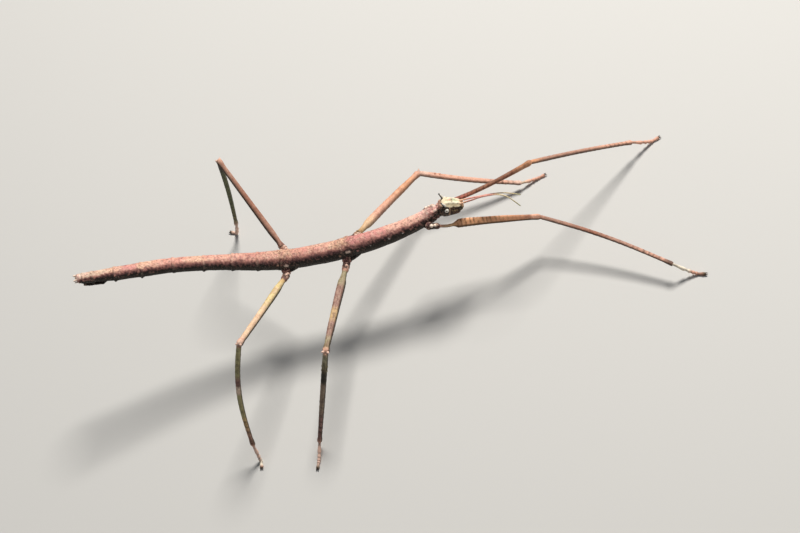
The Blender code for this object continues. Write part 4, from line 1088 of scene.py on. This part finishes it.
def foot_shell(leg):
    """Five tarsal joints with a pad under each, and the round pad between the claws."""
    path = leg.foot
    run = np.concatenate([[0], np.cumsum(np.linalg.norm(np.diff(path, axis=0), axis=1))])
    total = run[-1]
    share = np.linspace(0, 1, int(total / 0.115))
    points = np.stack([np.interp(share * total, run, path[:, axis]) for axis in range(3)], -1)
    points = np.vstack([points[0] - unit(points[1] - points[0]) * 0.3, points])
    share = np.append(-0.3 / total, share)
    swell = np.zeros(len(share))
    pad = np.zeros(len(share))
    for low, high in zip(TARSOMERE_ENDS, TARSOMERE_ENDS[1:]):
        inner = np.clip((share - low) / (high - low), 0, 1)
        here = (share >= low) & (share <= high)
        swell[here] = (0.7 + 0.26 * ramp(inner, 0.2, 0.9) - 0.12 * ramp(inner, 0.9, 1.0))[here]
        pad[here] = bump(inner, 0.85, 0.16)[here]
    swell[share < 0] = 0.6
    radius = TARSUS_RADIUS * swell * dome((1 - share) * total, 0.45, 0.05) ** 0.6
    along = unit(np.gradient(points, axis=0))
    side = unit(np.cross(along, UP))
    turns = around(FOOT_SIDES)
    ring = radius[:, None] * (1 + 0.28 * pad[:, None] * np.clip(-np.sin(turns), 0, 1))
    rings = spun(points, side, np.cross(side, along), np.cos(turns) * ring, np.sin(turns) * ring)
    rings[..., 2] = np.maximum(rings[..., 2], FLOOR_GAP)
    waists = (BLACK, 0.25 * bump(swell, 0.7, 0.05)[:, None])
    return closed_shell(rings, coated(banded(LEG_COLOURS[leg.name][2], share, turns), waists), 0.12)


legs = [leg_in_stance(pair + "_" + side_word) for pair in PAIRS for side_word in SIDES]
for leg in legs:
    skin_shells += [*hip_shells(leg), thigh_shell(leg), *shin_shells(leg), foot_shell(leg)]

# Skin
# All shells become one closed cuticle. Fine lumps are pressed into it along its own
# normals, and it carries its colour, its graininess and where its thorns grow.
LUMP_SIZE = 1.1
LUMP_HEIGHT = 0.045
PIMPLE_SIZE = 0.56
PIMPLE_HEIGHT = 0.15
PIMPLE_EDGE = 0.42
HOLLOW_SHADE = 0.62
CREASE_ANGLE = math.radians(55)


def joined_shells(name, shells):
    """One closed mesh object from overlapping closed shells."""
    whole = placed(name, shell_mesh(name, *shells[0][:2]))
    group = bpy.data.collections.new("shells")
    bpy.context.scene.collection.children.link(group)
    for points, faces, _ in shells[1:]:
        group.objects.link(bpy.data.objects.new("shell", shell_mesh("shell", points, faces)))
    step = whole.modifiers.new("join", "BOOLEAN")
    step.operation = "UNION"
    step.operand_type = "COLLECTION"
    step.collection = group
    step.solver = "MANIFOLD"
    whole.data = evaluated(whole, step, name)
    for other in list(group.objects):
        bpy.data.objects.remove(other)
    bpy.data.collections.remove(group)
    return whole


def evaluated(piece, step, name):
    """The mesh of a piece with its modifier worked in and then removed."""
    bpy.context.view_layer.update()
    graph = bpy.context.evaluated_depsgraph_get()
    mesh = bpy.data.meshes.new_from_object(piece.evaluated_get(graph))
    piece.modifiers.remove(step)
    mesh.name = name
    return mesh


def search_tree(points):
    """A tree that finds the nearest of many points."""
    tree = kdtree.KDTree(len(points))
    for number, point in enumerate(points):
        tree.insert(point, number)
    tree.balance()
    return tree


def vectors_of(mesh, kind):
    """The places or normals of the points of a mesh."""
    values = np.zeros(len(mesh.vertices) * 3)
    mesh.vertices.foreach_get(kind, values)
    return values.reshape(-1, 3)


def write_paint(mesh, paint):
    """Puts tint, grain and thorns on a mesh as attributes of its points."""
    tint = mesh.color_attributes.new("tint", "FLOAT_COLOR", "POINT")
    tint.data.foreach_set("color", np.concatenate([paint[:, :3], np.ones((len(paint), 1))], 1).ravel())
    for column, name in ((3, "grain"), (4, "thorns")):
        layer = mesh.attributes.new(name, "FLOAT", "POINT")
        layer.data.foreach_set("value", paint[:, column].astype(np.float32))


def added(name, shell, nodes, material):
    """A closed shell as a piece of its own."""
    points, faces, paint = shell
    dressed(placed(name, shell_mesh(name, points, faces)), nodes, material, paint)


def dressed(piece, nodes, material=None, paint=None):
    """Gives a piece its paint and material, its body and slot, and the nodes it stands for."""
    if paint is not None:
        write_paint(piece.data, paint)
    if material is not None:
        piece.data.shade_smooth()
        piece.data.materials.append(material)
    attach(piece, "root")
    if nodes:
        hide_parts(*nodes)


skin = joined_shells("skin", skin_shells)
tree = search_tree(np.concatenate([points for points, _, _ in skin_shells]))
skin_points = vectors_of(skin.data, "co") / MM
nearest = [tree.find(point)[1] for point in skin_points]
skin_paint = np.concatenate([paint for _, _, paint in skin_shells])[nearest]
spots = [Vector(point) for point in skin_points]
hollow = np.array([noise.voronoi(spot / PIMPLE_SIZE)[0][0] for spot in spots])
lumps = np.array([noise.noise(spot / LUMP_SIZE) for spot in spots])
lift = LUMP_HEIGHT * lumps + PIMPLE_HEIGHT * (PIMPLE_EDGE - hollow)
skin_points += vectors_of(skin.data, "normal") * (lift * skin_paint[:, 3] ** 1.5)[:, None]
# The hollows between the pimples are darkened with painted shade.
shade_in_gaps = HOLLOW_SHADE * ramp(hollow, PIMPLE_EDGE, 0.72) * ramp(skin_paint[:, 3], 0.35, 1.0)
skin_paint[:, :3] *= (1 - shade_in_gaps[:, None] * (0.85, 1.0, 0.95))
skin_points[:, 2] = np.maximum(skin_points[:, 2], 0.0)
skin.data.vertices.foreach_set("co", (skin_points * MM).ravel())

# The grain of the cuticle, used by every hard surface of the insect: pale granules with painted
# shade in the gaps between them, cloudy patches and a fine roughness, all on the piece's own coordinates.
WARP_SCALE = 2400.0
WARP = (0.0004, 0.0004, 0.0004)
SPECK_SCALE = 6500.0
GAP_SHADE_TINT = (0.48, 0.4, 0.38, 1)
PIMPLE_TINT = (0.95, 0.76, 0.62, 1)
PATCH_TINT = (0.45, 0.34, 0.3, 1)


def sockets(tree, way, *rows):
    """Gives a node group its inputs or outputs, as label, kind and default value."""
    for label, kind, *value in rows:
        socket = tree.interface.new_socket(label, in_out=way, socket_type="NodeSocket" + kind)
        if value:
            socket.default_value = value[0]


class Sheet:
    """A short way to write nodes: each call adds one, and its inputs are values or sockets."""

    def __init__(self, tree):
        self.tree = tree

    def fill(self, made, inputs):
        for key, value in dict(inputs).items():
            if isinstance(value, bpy.types.NodeSocket):
                self.tree.links.new(value, made.inputs[key])
            else:
                made.inputs[key].default_value = value

    def node(self, kind, inputs=(), **settings):
        made = self.tree.nodes.new(kind)
        for key, value in settings.items():
            setattr(made, key, value)
        self.fill(made, inputs)
        return made

    def noise(self, spots, scale, detail):
        return self.node("ShaderNodeTexNoise", {"Vector": spots, "Scale": scale, "Detail": detail}).outputs

    def math(self, operation, first, second=0.0):
        return self.node("ShaderNodeMath", {0: first, 1: second}, operation=operation).outputs[0]

    def mix(self, share, first, second, blend="MIX"):
        return self.node("ShaderNodeMix", {0: share, 6: first, 7: second},
                         data_type="RGBA", blend_type=blend).outputs[2]

    def map(self, value, low, high, to_low, to_high):
        return self.node("ShaderNodeMapRange", {"Value": value, "From Min": low, "From Max": high,
                                                "To Min": to_low, "To Max": to_high}).outputs["Result"]


grain_group = bpy.data.node_groups.new("cuticle_grain", "ShaderNodeTree")
sockets(grain_group, "INPUT", ("Colour", "Color", (0.5, 0.5, 0.5, 1)), ("Grain", "Float", 0.5),
        ("Granule Size", "Float", 0.3), ("Patch Size", "Float", 1.6), ("Patchiness", "Float", 0.35))
sockets(grain_group, "OUTPUT", ("Colour", "Color"), ("Roughness", "Float"), ("Height", "Float"))
sheet = Sheet(grain_group)
given = sheet.node("NodeGroupInput").outputs
spots = sheet.node("ShaderNodeTexCoord").outputs["Object"]
sway = sheet.noise(spots, WARP_SCALE, 1.0)["Color"]
centred = sheet.node("ShaderNodeVectorMath", {0: sway, 1: (0.5, 0.5, 0.5)}, operation="SUBTRACT").outputs[0]
warped = sheet.node("ShaderNodeVectorMath", {0: centred, 1: WARP, 2: spots},
                    operation="MULTIPLY_ADD").outputs[0]
granule_scale = sheet.math("DIVIDE", 1000.0, given["Granule Size"])
cells = sheet.node("ShaderNodeTexVoronoi", {"Vector": warped, "Scale": granule_scale}).outputs
granule = sheet.map(cells["Distance"], 0.15, 0.62, 1.0, 0.0)
speck = sheet.noise(spots, SPECK_SCALE, 3.0)["Fac"]
patches = sheet.noise(spots, sheet.math("DIVIDE", 1000.0, given["Patch Size"]), 2.0)["Fac"]
# Painted shade darkens the gaps between the granules.
gap_shade = sheet.mix(1.0, given["Colour"], GAP_SHADE_TINT, "MULTIPLY")
pale = sheet.mix(sheet.map(cells["Color"], 0.5, 0.72, 0.0, 0.2), given["Colour"], PIMPLE_TINT)
coloured = sheet.mix(sheet.math("MULTIPLY", given["Grain"], 0.85), given["Colour"],
                     sheet.mix(granule, gap_shade, pale))
patch = sheet.math("MULTIPLY", sheet.map(patches, 0.35, 0.68, 0.0, 1.0), given["Patchiness"])
clouded = sheet.mix(patch, coloured, PATCH_TINT, "MULTIPLY")
domes = sheet.math("MULTIPLY", sheet.math("MULTIPLY", granule, given["Grain"]), 0.8)
sheet.node("NodeGroupOutput", {
    "Colour": sheet.mix(1.0, clouded, sheet.map(speck, 0.3, 0.7, 0.82, 1.18), "MULTIPLY"),
    "Roughness": sheet.map(granule, 0.0, 1.0, 0.72, 0.5),
    "Height": sheet.math("ADD", domes, sheet.math("MULTIPLY", speck, 0.35))})


def cuticle(name, colour=None, grain=None, bump_depth=0.04, rough=None, **sizes):
    """A cuticle material. Without a colour or a grain it reads the tint or grain of the mesh."""
    material = bpy.data.materials.new(name)
    material.use_nodes = True
    sheet = Sheet(material.node_tree)
    inputs = {key.replace("_", " ").title(): value for key, value in sizes.items()}
    if colour is None:
        inputs["Colour"] = sheet.node("ShaderNodeVertexColor", layer_name="tint").outputs["Color"]
    else:
        inputs["Colour"] = (*colour, 1)
    if grain is None:
        grain = sheet.node("ShaderNodeAttribute", attribute_name="grain").outputs["Fac"]
    inputs["Grain"] = grain
    effect = sheet.node("ShaderNodeGroup", node_tree=grain_group)
    sheet.fill(effect, inputs)
    relief = sheet.node("ShaderNodeBump", {"Height": effect.outputs["Height"], "Strength": 1.0,
                                           "Distance": bump_depth * MM})
    sheet.fill(material.node_tree.nodes["Principled BSDF"], {
        "Base Color": effect.outputs["Colour"], "Normal": relief.outputs["Normal"],
        "Roughness": effect.outputs["Roughness"] if rough is None else rough, "Specular IOR Level": 0.35})
    return material


skin.data.materials.clear()
flesh = [node for node in frame["nodes"] if not node.startswith(("eye_", "horn_", "feeler_"))]
dressed(skin, flesh, cuticle("skin_cuticle"), skin_paint)
skin.data.set_sharp_from_angle(angle=CREASE_ANGLE)

# Eyes
# Two small round compound eyes, hard and smooth, each with a pale ring round a dark
# middle. They sit deep in their sockets.
EYE_CREAM = (0.98, 0.93, 0.82)
EYE_DARK = (0.11, 0.075, 0.055)
EYE_RIM = (0.34, 0.25, 0.17)
EYE_ROWS = 40
EYE_SIDES = 60
EYE_COLOURS = (0, 11, EYE_DARK, 23, 54, EYE_CREAM, 65, EYE_RIM, 76,
               180, NIGHT_BROWN)

eye_paint = cuticle("eye_paint", grain=0.0, bump_depth=0.006, rough=0.16, patchiness=0.1)
for side_word, side in SIDES.items():
    _, _, left, up = line_at(EYE_AT)
    tilt = math.radians(EYE_RISE)
    out = unit(left * side * math.cos(tilt) + up * math.sin(tilt))
    first = unit(np.cross(out, UP))
    second = np.cross(out, first)
    angle = np.linspace(0.02, math.pi - 0.02, EYE_ROWS)[:, None]
    turns = around(EYE_SIDES)
    rings = (eye_centre(side) + out * (np.cos(angle) + 0 * turns)[..., None] * EYE_RADIUS
             + (first * np.cos(turns)[..., None] + second * np.sin(turns)[..., None])
             * (np.sin(angle) * EYE_RADIUS)[..., None])
    colours = read(palette(*EYE_COLOURS), np.degrees(angle)[:, 0])
    shell = closed_shell(rings, colours[:, None], 0.0)
    added("eyeball_" + side_word, shell, ["eye_" + side_word], eye_paint)

# Horns
# Two small smooth horns behind the eyes, black at the back and the tip, with a pale front edge.
# The black back is partly painted shade and the pale front edge partly a painted highlight.
# Each is a hollow cone of hard cuticle grown on the top of the head.
HORN_AT = 27.15
HORN_SIDE = 1.15
HORN_HEIGHT = 1.9
HORN_LEAN_BACK = 0.45
HORN_LEAN_OUT = 0.35
HORN_ROOT_RADIUS = 0.48
HORN_TIP_RADIUS = 0.2
HORN_SINK = 0.7
HORN_ROWS = 60
HORN_BLACK_AND_SHADE = (0.012, 0.009, 0.008)
HORN_PALE_AND_HIGHLIGHT = (0.98, 0.94, 0.84)

horn_paint = cuticle("horn_paint", grain=0.15, bump_depth=0.01, rough=0.32, patchiness=0.2)
for side_word, side in SIDES.items():
    wide, deep, lift = read(HEAD_RINGS, HORN_AT)
    rise = lift + deep * math.sqrt(1 - (HORN_SIDE / wide) ** 2)
    _, ahead, left, up = line_at(HORN_AT)
    root = on_body(HORN_AT, side * HORN_SIDE, rise - HORN_SINK)
    surface = on_body(HORN_AT, side * HORN_SIDE, rise)
    tip = surface + up * HORN_HEIGHT - ahead * HORN_LEAN_BACK + left * side * HORN_LEAN_OUT
    path = smooth_path([root, surface, surface * 0.5 + tip * 0.5 + ahead * 0.03, tip], HORN_ROWS)
    share = np.linspace(0, 1, HORN_ROWS)
    radii = HORN_ROOT_RADIUS + (HORN_TIP_RADIUS - HORN_ROOT_RADIUS) * share ** 0.8
    radii *= np.sqrt(1 - np.clip((share - 0.94) / 0.065, 0, 0.97) ** 2)
    rings = round_tube(path, radii, 24, lambda s, t: 0.012 * np.sin(s * 46) * (1 - s))
    forward = (rings - path[:, None]) @ ahead / radii[:, None]
    length_share = ramp(share, 0.15, 0.3) * fade(share, 0.9, 0.95)
    # The black back is partly painted shade and the pale front edge partly a painted highlight; the black tip
    # is its own colour.
    colours = coated(HORN_BLACK_AND_SHADE, (HORN_PALE_AND_HIGHLIGHT, ramp(forward, 0.12, 0.3) * length_share[:, None]))
    shell = closed_shell(rings, colours, 0.1)
    added("head_horn_" + side_word, shell, ["horn_" + side_word], horn_paint)

# Feelers
# Two short thread-like feelers: a thick root joint, a small second joint and a chain of
# fine ones, pink near the root and pale yellow-green at the tip.
HEAD_FRONT = 31.5
FEELERS = {
    # place along the body's line, side and rise of each point
    "left": ((30.7, 0.5, 0.85), (31.8, 0.52, 0.95), (33.6, 0.84, 0.65), (35.7, 1.19, 0.23),
             (37.9, 1.61, -0.28), (40.3, 2.03, -1.03), (42.6, 2.44, -2.23), (45.7, 2.99, -4.77)),
    "right": ((30.7, -0.5, 0.85), (31.8, -0.58, 1.3), (33.8, -1.1, 2.5), (35.8, -1.4, 3.5),
              (38.1, -1.66, 4.01), (40.4, -1.84, 3.96), (42.7, -2.03, 2.4), (45.3, -2.32, -1.89)),
}
FEELER_ROOT_RADIUS = 0.28
FEELER_RADIUS = 0.22
FEELER_TIP_RADIUS = 0.13
FEELER_JOINTS = 24
FEELER_CHAIN = 0.18
FEELER_ROWS = 300
FEELER_PEACH = (0.78, 0.48, 0.32)
FEELER_PINK = (0.74, 0.34, 0.28)
FEELER_YELLOW = (0.8, 0.66, 0.4)
FEELER_GREEN = (0.44, 0.43, 0.22)
FEELER_COLOURS = (0, 0.14, FEELER_PEACH, 0.24, 0.6, FEELER_PINK,
                  0.74, 0.88, FEELER_YELLOW, 1, FEELER_GREEN)

feeler_paint = cuticle("feeler_paint", grain=0.2, bump_depth=0.012, patchiness=0.25, patch_size=0.9)
front, straight_on, front_left, front_up = line_at(HEAD_FRONT)
share = np.linspace(0, 1, FEELER_ROWS)
radii = FEELER_RADIUS + (FEELER_TIP_RADIUS - FEELER_RADIUS) * share ** 1.5
radii = radii + (FEELER_ROOT_RADIUS - radii) * fade(share, 0.1, 0.13)
radii = radii - 0.14 * bump(share, 0.125, 0.01) + 0.05 * bump(share, 0.155, 0.018)
beat = (share - FEELER_CHAIN) / (1 - FEELER_CHAIN) * FEELER_JOINTS
in_joint = beat - np.floor(beat)
swell = 0.022 * (ramp(in_joint, 0.1, 0.7) - ramp(in_joint, 0.8, 1.0)) - 0.008
radii = radii + np.where(share > FEELER_CHAIN, swell, 0)
radii = radii * np.sqrt(1 - np.clip((share - 0.985) / 0.0155, 0, 0.96) ** 2)
dark_joint = np.where(share > FEELER_CHAIN, 0.3 * bump(in_joint, 0.97, 0.09), 0)
colours = coated(read(palette(*FEELER_COLOURS), share), (BLACK, dark_joint))
for side_word, places in FEELERS.items():
    path = [on_body(place, side, rise) if place <= HEAD_FRONT else
            front + straight_on * (place - HEAD_FRONT) + front_left * side + front_up * rise
            for place, side, rise in places]
    rings = round_tube(smooth_path(path, FEELER_ROWS), radii, 14)
    shell = closed_shell(rings, colours[:, None], 0.2)
    added("antenna_" + side_word, shell, ["feeler_" + side_word], feeler_paint)

# Claws
# Two hooked dark claws at the end of each foot, hard and glossy, resting on the floor
# with the soft pad of the foot between them.
CLAW_LENGTH = 0.75
CLAW_RADIUS = 0.2
CLAW_SPREAD = math.radians(18)
CLAW_BROWN = (0.055, 0.03, 0.016)

claw_paint = cuticle("claw_paint", colour=CLAW_BROWN, grain=0.0, bump_depth=0.006, rough=0.28,
                     patchiness=0.3, patch_size=0.6)
for leg in legs:
    ahead = unit((leg.foot[-1] - leg.foot[-3]) * (1, 1, 0))
    points = []
    faces = []
    for turn in (CLAW_SPREAD, -CLAW_SPREAD):
        heading = np.array((ahead[0] * math.cos(turn) - ahead[1] * math.sin(turn),
                            ahead[0] * math.sin(turn) + ahead[1] * math.cos(turn), 0))
        root = leg.foot[-1] - ahead * 0.5 + heading * 0.1
        path = smooth_path([root, root + heading * CLAW_LENGTH * 0.7 + (0, 0, 0.16),
                            root + heading * CLAW_LENGTH * 1.25 + (0, 0, -0.1)], 26)
        rings = round_tube(path, CLAW_RADIUS * (1 - 0.75 * np.linspace(0, 1, 26) ** 1.6), 14)
        rings[..., 2] = np.maximum(rings[..., 2], FLOOR_GAP)
        shell, shell_faces, _ = closed_shell(rings, CLAW_BROWN, 0.0)
        faces.extend([number + len(points) for number in face] for face in shell_faces)
        points.extend(shell.tolist())
    added("claws_" + leg.name, (points, faces, None), (), claw_paint)

# Granules
# Hundreds of small hard pimples stand on the trunk, the hips and the back of the head,
# pale on top of the dark cuticle. They grow from it, so their roots are sunk in it.
GRANULE_PEACH = (0.86, 0.5, 0.32)
scatter = bpy.data.node_groups.new("scatter_granules", "GeometryNodeTree")
sockets(scatter, "INPUT", ("Geometry", "Geometry"), ("Density", "Float", 4000000.0),
        ("Spacing", "Float", 0.0003), ("Smallest", "Float", 0.00006), ("Largest", "Float", 0.00014),
        ("Seed", "Int", 7), ("Material", "Material"))
sockets(scatter, "OUTPUT", ("Geometry", "Geometry"))
sheet = Sheet(scatter)
given = sheet.node("NodeGroupInput").outputs
where = sheet.node("GeometryNodeInputNamedAttribute", {"Name": "bed"}, data_type="FLOAT")
points = sheet.node("GeometryNodeDistributePointsOnFaces",
                    {"Mesh": given["Geometry"], "Distance Min": given["Spacing"],
                     "Density Max": given["Density"], "Density Factor": where.outputs["Attribute"],
                     "Seed": given["Seed"]}, distribute_method="POISSON").outputs
pimple = sheet.node("GeometryNodeMeshIcoSphere", {"Radius": 1.0, "Subdivisions": 1})
size = sheet.node("FunctionNodeRandomValue",
                  {2: given["Smallest"], 3: given["Largest"], "Seed": given["Seed"]}, data_type="FLOAT")
copies = sheet.node("GeometryNodeInstanceOnPoints",
                    {"Points": points["Points"], "Instance": pimple.outputs["Mesh"],
                     "Rotation": points["Rotation"], "Scale": size.outputs[1]})
solid = sheet.node("GeometryNodeRealizeInstances", {"Geometry": copies.outputs["Instances"]})
smooth = sheet.node("GeometryNodeSetShadeSmooth", {"Geometry": solid.outputs["Geometry"]})
finished = sheet.node("GeometryNodeSetMaterial", {"Geometry": smooth.outputs["Geometry"],
                                                  "Material": given["Material"]})
sheet.node("NodeGroupOutput", {"Geometry": finished.outputs["Geometry"]})
skin_tree = search_tree(skin_points)


def grown(name, bed, slot, towards, share, **sizes):
    """A plain mesh piece of pimples scattered on the skin where bed is more than nought.

    Their tint is that of the skin under them, a share of the way to another colour.
    """
    carrier = placed(name + "_bed", skin.data.copy())
    layer = carrier.data.attributes.new("bed", "FLOAT", "POINT")
    layer.data.foreach_set("value", np.clip(bed, 0, 1).astype(np.float32))
    step = carrier.modifiers.new("grow", "NODES")
    step.node_group = scatter
    for item in scatter.interface.items_tree:
        if item.in_out == "INPUT" and item.name.lower() in sizes:
            step[item.identifier] = sizes[item.name.lower()]
    piece = placed(name, evaluated(carrier, step, name))
    bpy.data.objects.remove(carrier)
    paint = skin_paint[[skin_tree.find(spot)[1] for spot in vectors_of(piece.data, "co") / MM]]
    paint[:, :3] = paint[:, :3] * (1 - share) + np.array(towards) * share
    for layer_name in ("tint", "grain", "thorns"):
        if layer_name in piece.data.attributes:
            piece.data.attributes.remove(piece.data.attributes[layer_name])
    dressed(piece, (), paint=paint)


granule_paint = cuticle("granule_paint", grain=0.0, bump_depth=0.01, rough=0.5, patchiness=0.1)
grown("granules", ramp(skin_paint[:, 3], 0.55, 0.95), "body_cuticle", GRANULE_PEACH, 0.16, density=2.4e7,
      spacing=0.00026, smallest=0.00004, largest=0.0001, seed=11, material=granule_paint)

# Thorns
# A fine row of small thorns runs along each keel of thighs and shins. They are part of
# the cuticle, a little darker than it.
THORN_BROWN = (0.3, 0.17, 0.1)
thorn_paint = cuticle("thorn_paint", grain=0.0, bump_depth=0.01, rough=0.5, patchiness=0.1)
grown("leg_thorns", skin_paint[:, 4], "leg_cuticle", THORN_BROWN, 0.35, density=9e6,
      spacing=0.00036, smallest=0.00004, largest=0.00009, seed=23, material=thorn_paint)
